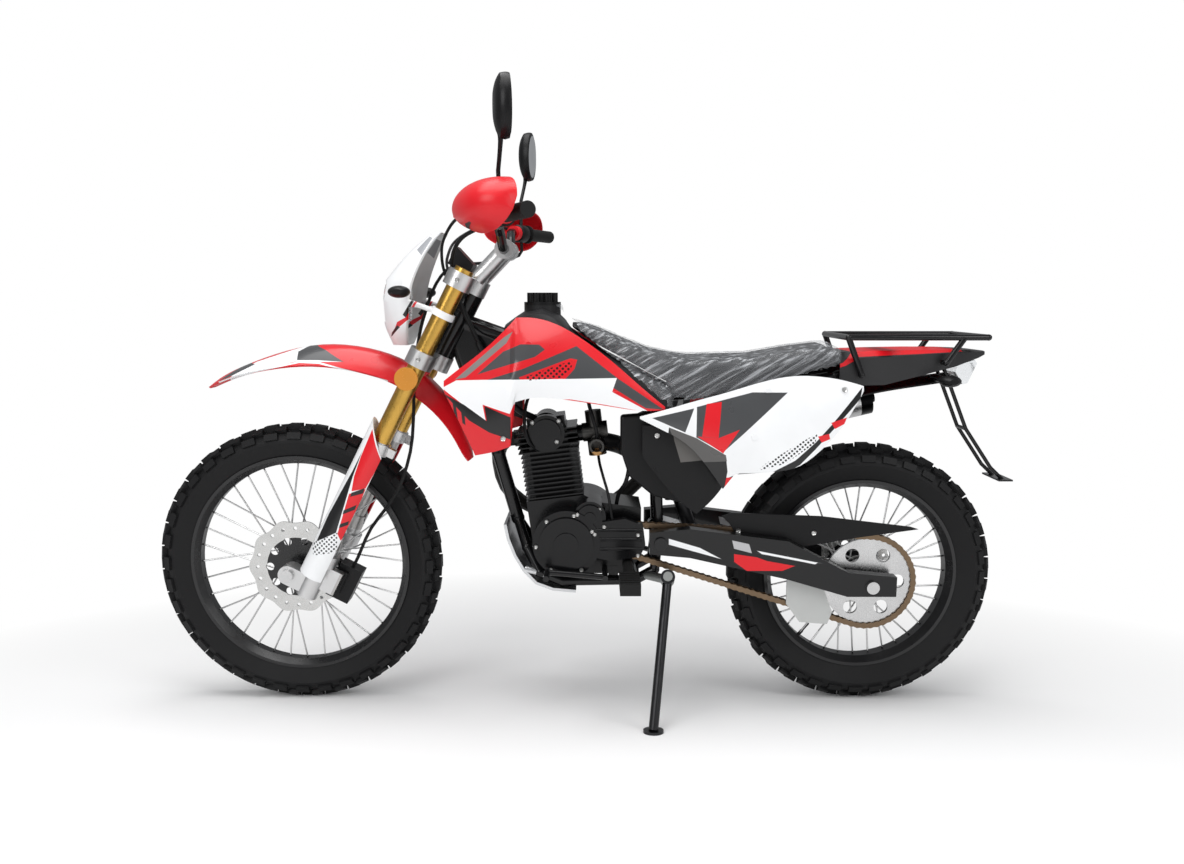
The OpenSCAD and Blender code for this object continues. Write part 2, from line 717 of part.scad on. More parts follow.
// Front fender. Each row is one section across it: angle behind upright about the axle, and, as
// shares of the fender's radius and half width: crown radius, edge radius and half width.
fender_drop = 7;
fender_r = lower_clamp_low - fender_drop;
fender_half = 72;
fender_post_d = 14;
fender_post_half = 24;
fender_post_x_share = 0.4;
fender_shares = [[-24.5, 0.835, 0.832, 0.3], [-20, 0.855, 0.838, 0.62], [-12, 0.875, 0.84, 0.86],
  [2, 0.93, 0.858, 1], [13, 0.965, 0.876, 0.98], [25, 0.99, 0.896, 0.86], [33, 0.985, 0.9, 0.8],
  [42, 0.968, 0.9, 0.82], [50, 0.93, 0.884, 0.78], [56, 0.89, 0.858, 0.6], [58.5, 0.872, 0.856, 0.36]];
fender_steps = 8;
function fender_ring(row) = let (skin = function (grow) [for (k = [0 : fender_steps])
    let (u = 2 * k / fender_steps - 1, r = fender_r * mix(row[1], row[2], abs(u) ^ 2.5) + grow)
    front_axle_p + [r * sin(row[0]), (fender_half * row[3] + grow) * u, r * cos(row[0])]])
  wall_ring(skin(0), skin(-panel_t));
module front_fender() {
  color("#c8161d") parked() {
    loft([for (row = fender_shares) fender_ring(row)]);
    fork_frame() both_sides() translate([mix(axle_lead, steer_x, fender_post_x_share), -fender_post_half,
      fender_r * fender_post_low_share])
      cylinder(d = fender_post_d, h = lower_clamp_low - fender_r * fender_post_low_share);
  }
}
fender_post_low_share = 0.968;

bar_straight = 66;
bar_bend_y = 94;
bar_rise_y = 150;
bar_knee_y = 228;
bar_rise_share = 0.8;
grip_x = -94;
grip_sweep = 100;
bar_end = [grip_x, -bar_half, grip_z];
bar_knee = bar_end + [-grip_sweep * (bar_half - bar_knee_y) / bar_half * 2, bar_half - bar_knee_y, 0];
bar_dir = unit(bar_end - bar_knee);
bar_left = concat([bar_mid], curve([bar_mid - [0, bar_straight, 0], bar_mid - [0, bar_bend_y, 0],
  [mix(bar_mid.x, bar_knee.x, bar_rise_share / 2), -bar_rise_y, mix(bar_mid.z, grip_z, bar_rise_share)],
  bar_knee], 3),
  [bar_end]);
module handlebar() {
  path = concat([for (i = [len(bar_left) - 1 : -1 : 1]) bar_left[i]], [for (p = bar_left) flip(p)]);
  color("#222222") parked() swept(path, bar_d, [0, 0, 1], 14);
}

grip_flange_d = 48;
grip_flange_t = 6;
grip_cap = 6;
module grips() {
  color("#1d1d1d") parked() both_sides() difference() {
    union() {
      rod(bar_end - bar_dir * grip_l, bar_end + bar_dir * grip_cap, grip_d);
      rod(bar_end - bar_dir * grip_l, bar_end - bar_dir * (grip_l - grip_flange_t), grip_flange_d);
    }
    rod(bar_end - bar_dir * (grip_l + over), bar_end, bar_d + fit);
  }
}

perch_in = 148;
perch_l = 30;
perch_d = 38;
lever_d = 11;
ahead = unit([bar_dir.y, -bar_dir.x, 0]);
perch_p = bar_end - bar_dir * perch_in;
// How far ahead of the bar and out along it the lever's points are
lever_ahead = [14, 44, 60, 58, 66];
lever_out = [0, 12, 60, 122, 136];
lever_path = [for (i = [0 : len(lever_out) - 1]) perch_p + ahead * lever_ahead[i] + bar_dir * lever_out[i]];
module hand_levers() {
  color("#1a1a1a") parked() both_sides() {
    difference() {
      rod(perch_p - bar_dir * perch_l / 2, perch_p + bar_dir * perch_l / 2, perch_d);
      rod(perch_p - bar_dir * perch_l, perch_p + bar_dir * perch_l, bar_d + fit);
    }
    swept(curve(lever_path, 3), lever_d, [0, 0, 1], 8);
  }
}

// Hand guard: a shell ahead of the grip that closes over its outer end. Each row: place along the bar
// as a share of the guard's length, then its size as a share of its reach and half height.
shield_l = 210;
shield_over = 16;
shield_reach = 86;
shield_half = 57;
shield_lead = 28;
shield_rise = 12;
shield_shares = [[0, 0.72], [0.2, 0.88], [0.45, 1], [0.7, 0.98], [0.86, 0.84], [0.96, 0.56], [1, 0.26]];
shield_from = -72;
shield_turn = 168;
shield_steps = 10;
function shield_ring(row) = let (p = bar_end + bar_dir * (shield_over - shield_l * (1 - row[0]))
    + ahead * shield_lead + [0, 0, shield_rise],
  skin = function (grow) [for (k = [0 : shield_steps])
    let (a = shield_from + shield_turn * k / shield_steps)
    p + ahead * (shield_reach * row[1] + grow) * cos(a)
      + [0, 0, (shield_half * row[1] + grow) * sin(a)]])
  wall_ring(skin(0), skin(-panel_t));
shield_arm_d = 12;
module hand_guards() {
  arm_p = bar_end - bar_dir * (perch_in + perch_l);
  color("#cc1820") parked() both_sides() {
    loft([for (row = shield_shares) shield_ring(row)]);
    difference() {
      union() {
        rod(arm_p - bar_dir * shield_arm_d, arm_p + bar_dir * shield_arm_d / 2, perch_d);
        rod(arm_p, arm_p + ahead * (shield_lead + shield_reach * shield_shares[0][1]),
          shield_arm_d);
      }
      rod(arm_p - bar_dir * perch_l, arm_p + bar_dir * perch_l, bar_d + fit);
    }
  }
}

mirror_stem_d = 9;
mirror_p = [-148, -332, 1382];
mirror_half = [17, 44, 66];
mirror_bend = [-160, -292, 1262];
mirror_shares = [[-1, 0.35], [-0.75, 0.72], [-0.2, 0.95], [0.5, 1], [0.95, 0.97], [1, 0.86]];
mirror_sides = 16;
mirror_toe = 12;
module mirrors() {
  color("#161616") parked() both_sides() {
    translate(mirror_p) rotate(mirror_toe) loft([for (row = mirror_shares) [for (k = [0 : mirror_sides - 1])
      let (a = 360 * k / mirror_sides)
      [mirror_half.x * row[0], mirror_half.y * row[1] * cos(a), mirror_half.z * row[1] * sin(a)]]]);
    difference() {
      pipe_run([perch_p, mirror_bend, mirror_p - [0, 0, mirror_half.z * mirror_foot_share]], mirror_stem_d);
      rod(perch_p - bar_dir * perch_l, perch_p + bar_dir * perch_l, perch_d + fit);
    }
  }
}
mirror_foot_share = 0.8;

// Headlamp mask. Each row is one level section, in shares of the mask's height, depth and half width:
// z, front x, half width and how far its sides reach back.
mask_low = 893;
mask_h = 264;
mask_x = -474;
mask_depth = 130;
mask_half = 108;
mask_shares = [[0, 0.18, 0.36, 0.3], [0.15, 0.06, 0.8, 0.5], [0.4, 0.01, 1, 0.62], [0.58, 0.1, 0.98, 0.6],
  [0.78, 0.42, 0.82, 0.46], [0.94, 0.8, 0.6, 0.26], [1, 1, 0.44, 0.16]];
mask_steps = 10;
function mask_ring(row) = let (skin = function (grow) [for (k = [0 : mask_steps])
    let (a = 180 * k / mask_steps - 90)
    [mask_x + mask_depth * (row[1] + row[3] * (1 - cos(a))) - grow, (mask_half * row[2] + grow) * sin(a),
      mask_low + mask_h * row[0]]])
  wall_ring(skin(0), skin(-panel_t));
// Opening for the lamp, in shares of its half width and height
lens_half = 66;
lens_low = 948;
lens_h = 98;
lens_shares = [[-0.7, 0], [0.7, 0], [1, 0.55], [0.86, 0.9], [0.6, 1], [-0.6, 1], [-0.86, 0.9], [-1, 0.55]];
module lens_prism(from, to) {
  translate([from, 0, 0]) rotate([90, 0, 90]) linear_extrude(to - from)
    polygon([for (s = lens_shares) [s.x * lens_half, lens_low + s.y * lens_h]]);
}
mask_ring_h = 16;
mask_ring_share = 0.54;
mask_ring_along = mix(lower_clamp_high, upper_clamp_low, mask_ring_share);
mask_ring_wall = 6;
mask_arm_d = 12;
mask_arm_shares = [0.6, 0.945, 0.4];
signal_x = -398;
signal_z = 1018;
signal_root = 116;
signal_in = 97;
signal_d = 14;
module headlamp_mask() {
  arm_p = [mask_x + mask_depth * mask_arm_shares[0], -mask_half * mask_arm_shares[1],
    mask_low + mask_h * mask_arm_shares[2]];
  color("#ececed") parked() difference() {
    union() {
      loft([for (row = mask_shares) mask_ring(row)]);
      both_sides() {
        rod(arm_p, in_fork([axle_lead, -leg_half, mask_ring_along + mask_ring_h / 2]), mask_arm_d);
        rod([signal_x, -signal_in, signal_z], [signal_x, -signal_root, signal_z], signal_d);
      }
      at_legs() lift(mask_ring_along) cylinder(d = tube_d + 2 * mask_ring_wall, h = mask_ring_h);
    }
    lens_prism(mask_x - mask_depth, mask_x + mask_depth * mask_arm_shares[2]);
    at_legs() lift(mask_ring_along - tube_d) cylinder(d = tube_d + fit, h = 2 * tube_d + mask_ring_h);
  }
}

lens_front = 12;
bucket_deep = 60;
module headlamp() {
  color("#dfe6ea") parked() intersection() {
    lens_prism(mask_x, mask_x + bucket_deep);
    translate([mask_x + mask_depth, 0, lens_low + lens_h / 2]) sphere(r = mask_depth - lens_front / 2);
  }
}

pod_half = [27, 24, 15];
pod_shares = [[0, 0.45], [0.2, 0.85], [0.5, 1], [0.8, 0.8], [1, 0.4]];
pod_sides = 16;
stalk = 26;
module pod(p) {
  rod(p, p - [0, stalk + over, 0], signal_d);
  loft([for (i = [len(pod_shares) - 1 : -1 : 0]) let (row = pod_shares[i])
    [for (k = [0 : pod_sides - 1]) let (a = 360 * k / pod_sides)
    p - [0, stalk + 2 * pod_half.y * row[0], 0] + row[1] * [pod_half.x * cos(a), 0, -pod_half.z * sin(a)]]]);
}
module front_indicators() {
  color("#1b1b1b") parked() both_sides() pod([signal_x, -signal_root, signal_z]);
}

reflector_along = 556;
reflector_d = 54;
reflector_t = 6;
reflector_stub = 16;
module reflectors() {
  color("#d9751f") parked() at_legs() difference() {
    union() {
      translate([-reflector_lead, -tube_d / 2 - reflector_t, reflector_along]) rotate([90, 0, 0])
        cylinder(d = reflector_d, h = reflector_t);
      lift(reflector_along) rotate([90, 0, 0])
        cylinder(d = reflector_stub, h = tube_d / 2 + reflector_t + over);
    }
    cylinder(d = tube_d, h = upper_clamp_low);
  }
}
reflector_lead = 6;

pod_box = [56, 70, 46];
pod_tilt = 20;
pod_gap = 3;
module instrument() {
  color("#181818") parked() fork_frame()
    translate([steer_x - stem_nut_d / 2 - pod_gap - pod_box.x, -pod_box.y / 2, upper_clamp_high])
    difference() {
      cube(pod_box);
      translate([-over, -over, pod_box.z]) rotate([0, pod_tilt, 0]) cube(2 * pod_box);
    }
}

caliper_from = [12, -16];
caliper_size = [58, 88];
caliper_in = 36;
pad_gap = 1.5;
bracket_t = 8;
ear_in = leg_half - caliper_ear.x / 2;
module front_brake_caliper() {
  color("#1c1c1c") parked() fork_frame() difference() {
    union() {
      translate([axle_lead + lug_d / 2 + caliper_from.x, bracket_t - ear_in, caliper_from.y])
        cube([caliper_size.x, ear_in - bracket_t - caliper_in, caliper_size.y]);
      translate([axle_lead + lug_d / 2 + turn_gap, -ear_in, 0])
        cube([caliper_from.x + caliper_size.x / 2, bracket_t + over, caliper_ear.z]);
    }
    across([0, 0, 0], -boss_half - disc_t - pad_gap, pad_gap - boss_half, 2 * (front_disc_r + clear_gap));
  }
}

hose_d = 8;
hose_in = 60;
hose_lift = [12, 0, 22];
hose_drop = [6, 3, 38];
hose_low = in_fork([axle_lead + lug_d / 2 + caliper_from.x + caliper_size.x / 2, -hose_in,
  caliper_from.y + caliper_size.y]);
hose_top = flip(perch_p - [0, 0, perch_d / 2]);
hose_route = [hose_low, hose_low + hose_lift, [-505, -64, 452], [-440, -68, 540], [-404, -66, 640],
  [-393, -66, 740], [-391, -62, 820], [-385, -54, 870], [-378, -44, 920], [-366, -30, 970], [-346, 20, 1040],
  [-316, 106, 1084], [-240, 206, 1096], hose_top - hose_drop, hose_top];
module front_brake_hose() {
  color("#141414") parked() swept(curve(hose_route, 3), hose_d, [0, 1, 0], 8);
}

/* Engine */

// Finned cylinder on the crankcase's deck
engine_lean = 7;
deck_p = [-58, 0, 525];
deck_half = 70;
crank_half = 62;
port_y = 40;
exhaust_l = 88;
pipe_d = 36;
barrel = [96, 92, 112];
barrel_fin = [138, 128];
head_h = 62;
head_fin = [146, 134];
fin_t = 3;
barrel_fins = 10;
head_fins = 5;
rocker = [92, 84, 24];
rocker_d = 66;
cam_d = 88;
cam_out = 10;
cam_z_share = 0.8;
port_z_share = 0.5;
intake_l = 84;
intake_d = 40;
module on_deck() {
  translate(deck_p) rotate([0, -engine_lean, 0]) children();
}
module stack(size, fins, fin, h) {
  translate([-size.x / 2, -size.y / 2, 0]) cube([size.x, size.y, h]);
  for (k = [0 : fins - 1]) translate([-fin.x / 2, -fin.y / 2, (k + half_share) * h / fins - fin_t / 2])
    cube([fin.x, fin.y, fin_t]);
}
module engine_cylinder() {
  color("#1a1a1a") parked() on_deck() {
    stack(barrel, barrel_fins, barrel_fin, barrel.z);
    lift(barrel.z) stack(barrel, head_fins, head_fin, head_h);
    translate([-rocker.x / 2, -rocker.y / 2, barrel.z + head_h - over]) cube(rocker);
    translate([0, rocker.y / 2 - over, barrel.z + head_h + over]) rotate([90, 0, 0])
      cylinder(d = rocker_d, h = rocker.y - 2 * over);
    lift(barrel.z + head_h * cam_z_share) rotate([90, 0, 0]) {
      cylinder(d = cam_d, h = head_fin.y / 2 + cam_out);
      cylinder(d = cam_d * cover_step_share, h = head_fin.y / 2 + 2 * cam_out);
    }
    lift(barrel.z + head_h * port_z_share) {
      rotate([0, 90, 0]) cylinder(d = intake_d, h = intake_l);
      translate([0, port_y, 0]) rotate([0, -90, 0]) cylinder(d = pipe_d + clear_gap, h = exhaust_l);
    }
  }
}
// A place in the cylinder's own frame, on the upright bike
function deck_point(p) = deck_p + [p.x * cos(engine_lean) - p.z * sin(engine_lean), p.y,
  p.x * sin(engine_lean) + p.z * cos(engine_lean)];

case_front = -112;
case_rear = 150;
case_cut = 40;
case_low = 338;
generator_p = [-30, 0, 428];
generator_d = 160;
generator_out = 130;
cover_step = 8;
cover_step_share = 0.8;
cover_hub_share = 0.36;
starter_p = [26, 0, 490];
starter_d = 76;
starter_out = 118;
clutch_p = [10, 0, 440];
clutch_d = 176;
clutch_out = 118;
cover_in = 98;
cover_t = 20;
cover_shares = [[0, 0.1], [0.35, 0], [0.9, 0.12], [1, 0.4], [0.95, 0.85], [0.6, 1], [0, 0.9]];
cover_corner = [36, 384];
cover_size = [122, 104];
cover_rib_shares = [0.3, 0.52, 0.74];
// Round cover in three steps, out to the left
module stepped_cover(p, d, out) {
  across(p, cover_step - out, 0, d);
  across(p, -out, 0, d * cover_step_share);
  across(p, -out - cover_step / 2, 0, d * cover_hub_share);
}
module engine_crankcase() {
  deck = [for (s = [-deck_half, deck_half])
    [deck_p.x + s * cos(engine_lean), deck_p.z + s * sin(engine_lean)]];
  color("#1c1c1c") parked() {
    side_plate([[case_front + deck_half / 2, case_low], [case_rear - case_cut, case_low],
      [case_rear, case_low + case_cut], [case_rear, pivot_z + deck_half],
      [deck[1].x + deck_half / 2, deck[1].y - deck_half / 4], deck[1], deck[0],
      [case_front, case_low + deck_half]], -crank_half, 2 * crank_half);
    stepped_cover(generator_p, generator_d, generator_out);
    stepped_cover(starter_p, starter_d, starter_out);
    on_right() stepped_cover(clutch_p, clutch_d, clutch_out);
    side_plate(outline(cover_shares, cover_corner, cover_size), cover_in, cover_t);
    for (s = cover_rib_shares)
      let (p = [cover_corner.x, -cover_in - cover_t, cover_corner.y + s * cover_size.y])
      rod(p, p + [cover_size.x - cover_step, 0, 0], cover_step);
    across(front_sprocket_p, -chain_y - sprocket_t / 2, -crank_half + over, output_d);
    across(front_sprocket_p, -chain_y - sprocket_t / 2, sprocket_t / 2 - chain_y,
      2 * (pitch_r(front_teeth) - roller_d / 2 - sprocket_gap));
    both_sides() for (p = lug_points) difference() {
      translate(p - [lug_w / 2, 0, 0]) cube([lug_w, over - crank_half - p.y, lug_h]);
      pipe_run([cradle_low_p, cradle_front_p, cradle_rear_p], cradle_d + fit);
    }
  }
}
output_d = 26;
// Lugs that carry the engine on the cradle tubes
lug_w = 24;
lug_h = 36;
lug_share = 0.69;
lug_points = [cradle_front_p, mix(cradle_front_p, cradle_rear_p, lug_share)];

carb_d = 46;
carb_l = 62;
carb_bowl = [44, 58];
carb_cap = [40, 52];
choke_d = 36;
choke_bore = 26;
choke_out = 66;
module carburettor() {
  color("#77736b") parked() on_deck() translate([intake_l, 0, barrel.z + head_h * port_z_share]) {
    rotate([0, 90, 0]) cylinder(d = carb_d, h = carb_l);
    translate([carb_l / 2, 0, -carb_bowl.y]) cylinder(d = carb_bowl.x, h = carb_bowl.y);
    translate([carb_l / 2, 0, 0]) cylinder(d = carb_cap.x, h = carb_cap.y);
    translate([carb_l / 2, 0, -carb_bowl.y / 2]) rotate([90, 0, 0]) difference() {
      cylinder(d = choke_d, h = choke_out);
      lift(carb_bowl.x / 2 + over) cylinder(d = choke_bore, h = choke_out);
    }
  }
}

pipe_start = deck_point([-exhaust_l, port_y, barrel.z + head_h * port_z_share]);
pipe_ref = [0, 1, 0.3];
pipe_lead = 18;
pipe_tail = 40;
muffler_front = [392, 152, 664];
muffler_rear = [752, 158, 748];
muffler_dir = unit(muffler_rear - muffler_front);
pipe_route = [pipe_start - pipe_lead * [cos(engine_lean), 0, sin(engine_lean)], [-206, 64, 616],
  [-194, 114, 520], [-130, 142, 458], [-20, 152, 440], [90, 152, 470], [200, 148, 566],
  muffler_front - muffler_dir * pipe_tail];
module exhaust_pipe() {
  color("#2a2a2a") parked()
    swept(concat([pipe_start], curve(pipe_route, 3), [muffler_front]), pipe_d, pipe_ref, 14);
}
muffler_d = 88;
muffler_nose = 60;
muffler_tip_d = 34;
muffler_tip = 14;
module muffler() {
  v = muffler_dir;
  color("#a7a9ab") parked() {
    rod(muffler_front + v * muffler_nose, muffler_rear, muffler_d);
    translate(muffler_front) rotate([0, acos(v.z), atan2(v.y, v.x)])
      cylinder(d1 = pipe_d + clear_gap, d2 = muffler_d - over, h = muffler_nose + over);
    rod(muffler_rear - v * over, muffler_rear + v * muffler_tip, muffler_tip_d);
    difference() {
      rod(mix(muffler_front, muffler_rear, hanger_share),
        flip(mix(rail_mid_p, rail_end_p, hanger_rail_share)), hanger_d);
      on_right() side_tubes();
    }
  }
}
hanger_d = 12;
hanger_share = 0.56;
hanger_rail_share = 0.37;

/* Body */

// Tank over the backbone, which runs in a tunnel
tank_corner = [-176, 752];
tank_size = [390, 232];
tank_shares = [[0, 0.6, 0.8, 0.46, 0.4], [0.12, 0.42, 0.93, 0.7, 0.56], [0.23, 0.3, 0.975, 0.84, 0.62],
  [0.33, 0.22, 0.9, 0.92, 0.66], [0.38, 0.19, 0.82, 0.95, 0.68], [0.4, 0.18, 0.75, 0.96, 0.7],
  [0.56, 0.1, 0.57, 0.98, 0.74], [0.76, 0.04, 0.4, 0.98, 0.78], [1, 0, 0.18, 0.9, 0.8]];
// The tunnel is narrow round the backbone and wide behind, where the frame spreads
tunnel_half = backbone_d / 2 + clear_gap;
wide_half = upright_half + cradle_d / 2 + clear_gap;
wide_x = 84;
wide_top = 800;
module fuel_tank() {
  over_spine = backbone_d / 2 + clear_gap;
  top = mix(head_low, head_high, head_shares[0]);
  color("#1e1e1f") parked() difference() {
    union() {
      body_loft(tank_shares, tank_corner, tank_size, tank_half);
      translate([cap_x, 0, cap_z - cap_h]) cylinder(d = cap_skirt_d, h = cap_h);
    }
    side_plate([[top.x, top.z + over_spine], [spine_p.x, spine_p.z + over_spine],
      [tank_corner.x + tank_size.x + over, spine_p.z], [tank_corner.x + tank_size.x, tank_corner.y - over],
      [top.x, tank_corner.y - over]], -tunnel_half, 2 * tunnel_half);
    translate([wide_x, -wide_half, tank_corner.y - over])
      cube([tank_size.x, 2 * wide_half, wide_top - tank_corner.y]);
    translate([cap_x, 0, cap_z]) cylinder(d = cap_skirt_d + 2 * cap_skirt, h = cap_h);
    both_sides() for (q = shroud_pins) across([q.x, 0, q.y], -tank_half, -shroud_pin_in, shroud_pin_d + fit);
  }
}

cap_x = -88;
cap_z = 987;
cap_h = 30;
cap_skirt_d = 88;
cap_skirt = 8;
cap_lobes = 6;
cap_core_share = 0.72;
module fuel_cap() {
  color("#171717") parked() translate([cap_x, 0, cap_z]) {
    cylinder(d = cap_skirt_d, h = cap_skirt);
    linear_extrude(cap_h) {
      circle(d = cap_d * cap_core_share);
      for (k = [0 : cap_lobes - 1]) rotate(k * 360 / cap_lobes)
        translate([cap_d / 2 * cap_core_share, 0]) circle(d = cap_d * (1 - cap_core_share));
    }
  }
}

shroud_y = 100;
shroud_depth = 100;
shroud_corner = [-299, 652];
shroud_size = [498, 314];
shroud_shares = [[0, 0.46, 0.54, 0.92, 0.95, 0.9], [0.062, 0.26, 0.62, 0.93, 1.04, 0.7],
  [0.133, 0, 0.7, 0.85, 1.1, 0.56], [0.221, 0.02, 0.82, 0.78, 1.08, 0.36],
  [0.292, 0.06, 0.94, 0.74, 1.04, 0.14], [0.314, 0.38, 0.98, 0.68, 0.98, 0.08],
  [0.398, 0.42, 0.985, 0.62, 0.9, 0.06], [0.522, 0.4, 0.93, 0.58, 0.78, 0.12],
  [0.681, 0.36, 0.76, 0.54, 0.66, 0.26], [0.791, 0.33, 0.62, 0.51, 0.58, 0.36],
  [0.884, 0.305, 0.485, 0.48, 0.52, 0.42], [1, 0.31, 0.335, 0.42, 0.43, 0.42]];
// Pins that carry the shroud on the tank: side view places, and how deep they reach in
shroud_pins = [[-112, 900], [20, 800]];
shroud_pin_d = 14;
shroud_pin_in = 70;
shroud_pin_out = [150, 155];
module shroud() {
  side_panel(shroud_shares, shroud_corner, shroud_size, shroud_y, shroud_depth, panel_t);
  for (i = [0, 1]) let (q = shroud_pins[i])
    across([q.x, 0, q.y], -shroud_pin_out[i], -shroud_pin_in - over, shroud_pin_d);
}
module shroud_left() {
  color("#c8161d") parked() shroud();
}
module shroud_right() {
  color("#c8161d") parked() on_right() shroud();
}

seat_corner = [-20, 772];
seat_size = [626, 180];
seat_shares = [[0, 0.908, 0.972, 0.4, 0.44], [0.03, 0.832, 0.943, 0.48, 0.52],
  [0.1, 0.672, 0.868, 0.66, 0.68],
  [0.2, 0.497, 0.717, 0.88, 0.84], [0.3, 0.308, 0.584, 1.02, 0.95], [0.378, 0.175, 0.53, 1.04, 0.97],
  [0.382, 0.02, 0.528, 1.04, 0.97], [0.45, 0, 0.499, 1.06, 0.98], [0.68, 0.14, 0.518, 1.06, 1],
  [0.86, 0.33, 0.622, 1.02, 0.98], [0.97, 0.414, 0.669, 0.96, 0.9], [1, 0.47, 0.622, 0.9, 0.86]];
module seat() {
  color("#2a2b2d") parked() difference() {
    body_loft(seat_shares, seat_corner, seat_size, seat_half);
    both_sides() rails(rail_d + fit);
  }
}

panel_corner = [141, 565];
panel_size = [502, 267];
panel_y = 140;
panel_depth = 50;
side_shares = [[0, 0.62, 0.64, 0.2, 0.22, 0.2], [0.12, 0.51, 0.7, 0.3, 0.4, 0.24],
  [0.24, 0.4, 0.77, 0.4, 0.56, 0.28],
  [0.38, 0.02, 0.84, 0.5, 0.84, 0.3], [0.43, 0.15, 0.87, 0.6, 0.9, 0.32], [0.6, 0.18, 0.97, 0.8, 1, 0.36],
  [0.72, 0.2, 1, 0.86, 1, 0.4], [0.85, 0.43, 0.98, 0.86, 0.94, 0.44], [0.93, 0.62, 0.95, 0.8, 0.84, 0.5],
  [1, 0.86, 0.91, 0.64, 0.66, 0.6]];
// Pins from the panel to the seat rail and to the stay: side view places, and how far out they reach
panel_pins = [[430, 796], [400, 692]];
panel_pin_d = 14;
stay_share = 0.25;
panel_pin_out = [167, 180];
panel_pin_in = [rail_half, mix(upright_half, rail_half, stay_share)];
module side_panel_shape() {
  side_panel(side_shares, panel_corner, panel_size, panel_y, panel_depth, panel_t);
  difference() {
    for (i = [0, 1]) let (q = panel_pins[i])
      across([q.x, 0, q.y], -panel_pin_out[i], -panel_pin_in[i], panel_pin_d);
    side_tubes();
  }
}
module side_panel_left() {
  color("#ededee") parked() side_panel_shape();
}
// The right panel is cut away round the muffler and its pipe
module side_panel_right() {
  room = muffler_d / 2 + clear_gap;
  low = panel_corner.y - over;
  color("#ededee") parked() difference() {
    on_right() side_panel_shape();
    side_plate([[panel_corner.x - over, low], [muffler_rear.x, low], [muffler_rear.x, muffler_rear.z + room],
      [muffler_front.x, muffler_front.z + room], [panel_corner.x - over, muffler_front.z + room]],
      -panel_y - panel_depth - room, panel_y + panel_depth + room - upright_half);
  }
}

cover_box_corner = [148, 505];
cover_box_size = [190, 212];
cover_y = 108;
cover_depth = 50;
airbox_shares = [[0, 0.62, 0.98, 0.4, 0.5, 0.44], [0.26, 0.33, 0.97, 0.5, 0.76, 0.6],
  [0.48, 0.12, 0.86, 0.6, 0.9, 0.7],
  [0.67, 0, 0.76, 0.6, 0.94, 0.74], [0.85, 0.14, 0.67, 0.6, 0.9, 0.72], [1, 0.32, 0.58, 0.6, 0.74, 0.66]];
module airbox_cover() {
  color("#17181a") parked() {
    side_panel(airbox_shares, cover_box_corner, cover_box_size, cover_y, cover_depth, panel_t);
    for (z = airbox_pin_z)
      across([knee_p.x, 0, z], -airbox_pin_out, -upright_half - cradle_d / 2 - running, panel_pin_d);
  }
}
airbox_pin_z = [610, 660];
airbox_pin_out = 134;

// Tail: an open-bottomed shell over the tail loop. Rows: x, low z, high z, half width, as shares
tail_corner = [608, 796];
tail_size = [352, 88];
tail_half = 98;
tail_shares = [[0, 0.06, 0.94, 1], [0.3, 0.08, 0.98, 0.97], [0.56, 0.34, 1, 0.92], [0.78, 0.56, 1, 0.84],
  [0.95, 0.78, 0.98, 0.66], [1, 0.86, 0.96, 0.56]];
tail_top_share = 0.82;
function tail_ring(row) = let (x = tail_corner.x + row[0] * tail_size.x,
  skin = function (t) let (w = tail_half * row[3] - t, low = tail_corner.y + row[1] * tail_size.y,
    high = tail_corner.y + row[2] * tail_size.y - t)
    [[x, -w, low], [x, -w, mix(low, high, tail_top_share)], [x, -w * tail_top_share, high],
      [x, w * tail_top_share, high], [x, w, mix(low, high, tail_top_share)], [x, w, low]])
  wall_ring(skin(0), skin(panel_t));
module tail_fairing() {
  color("#2b2c2e") parked() difference() {
    loft([for (row = tail_shares) tail_ring(row)], shell = true);
    both_sides() for (i = [0, 1]) rack_slot(i);
  }
}
module rack_slot(i) {
  translate([rack_leg_x[i] - rack_slot_w / 2, -rack_half, rack_leg_z[i] - rack_slot_w / 2])
    cube([rack_slot_w, rack_half + rail_at(rack_leg_x[i]).y, rack_slot_w]);
}

// Rear fender under the tail. Rows: x and z as shares of its box, half width as a share
flap_corner = [436, 636];
flap_size = [456, 190];
flap_half = 62;
flap_drop = 14;
flap_shares = [[0, 0, 0.92], [0.12, 0.36, 0.98], [0.3, 0.66, 1], [0.55, 0.85, 1], [0.82, 0.94, 0.94],
  [1, 1, 0.8]];
flap_steps = 6;
function flap_ring(row) = let (skin = function (t) [for (k = [0 : flap_steps])
    let (u = 2 * k / flap_steps - 1)
    [flap_corner.x + row[0] * flap_size.x, flap_half * row[2] * u,
      flap_corner.y + row[1] * flap_size.y - flap_drop * u ^ 2 - t]])
  wall_ring(skin(0), skin(panel_t));
module rear_fender() {
  color("#151515") parked() difference() {
    union() {
      loft([for (row = flap_shares) flap_ring(row)]);
      both_sides() {
        rod(fender_hang_p, mix(stay_low_p, stay_high_p, fender_hang_share), hanger_d);
        across(rear_signal_p, rear_signal_p.y, -fender_boss_in, fender_boss_d);
      }
    }
    both_sides() {
      side_tubes();
      plate_rods(plate_rod_d + fit);
    }
    tail_tube(rail_d + fit);
  }
}
fender_hang_p = [560, -50, 742];
fender_hang_share = 0.82;
fender_boss_d = 18;
fender_boss_in = 40;

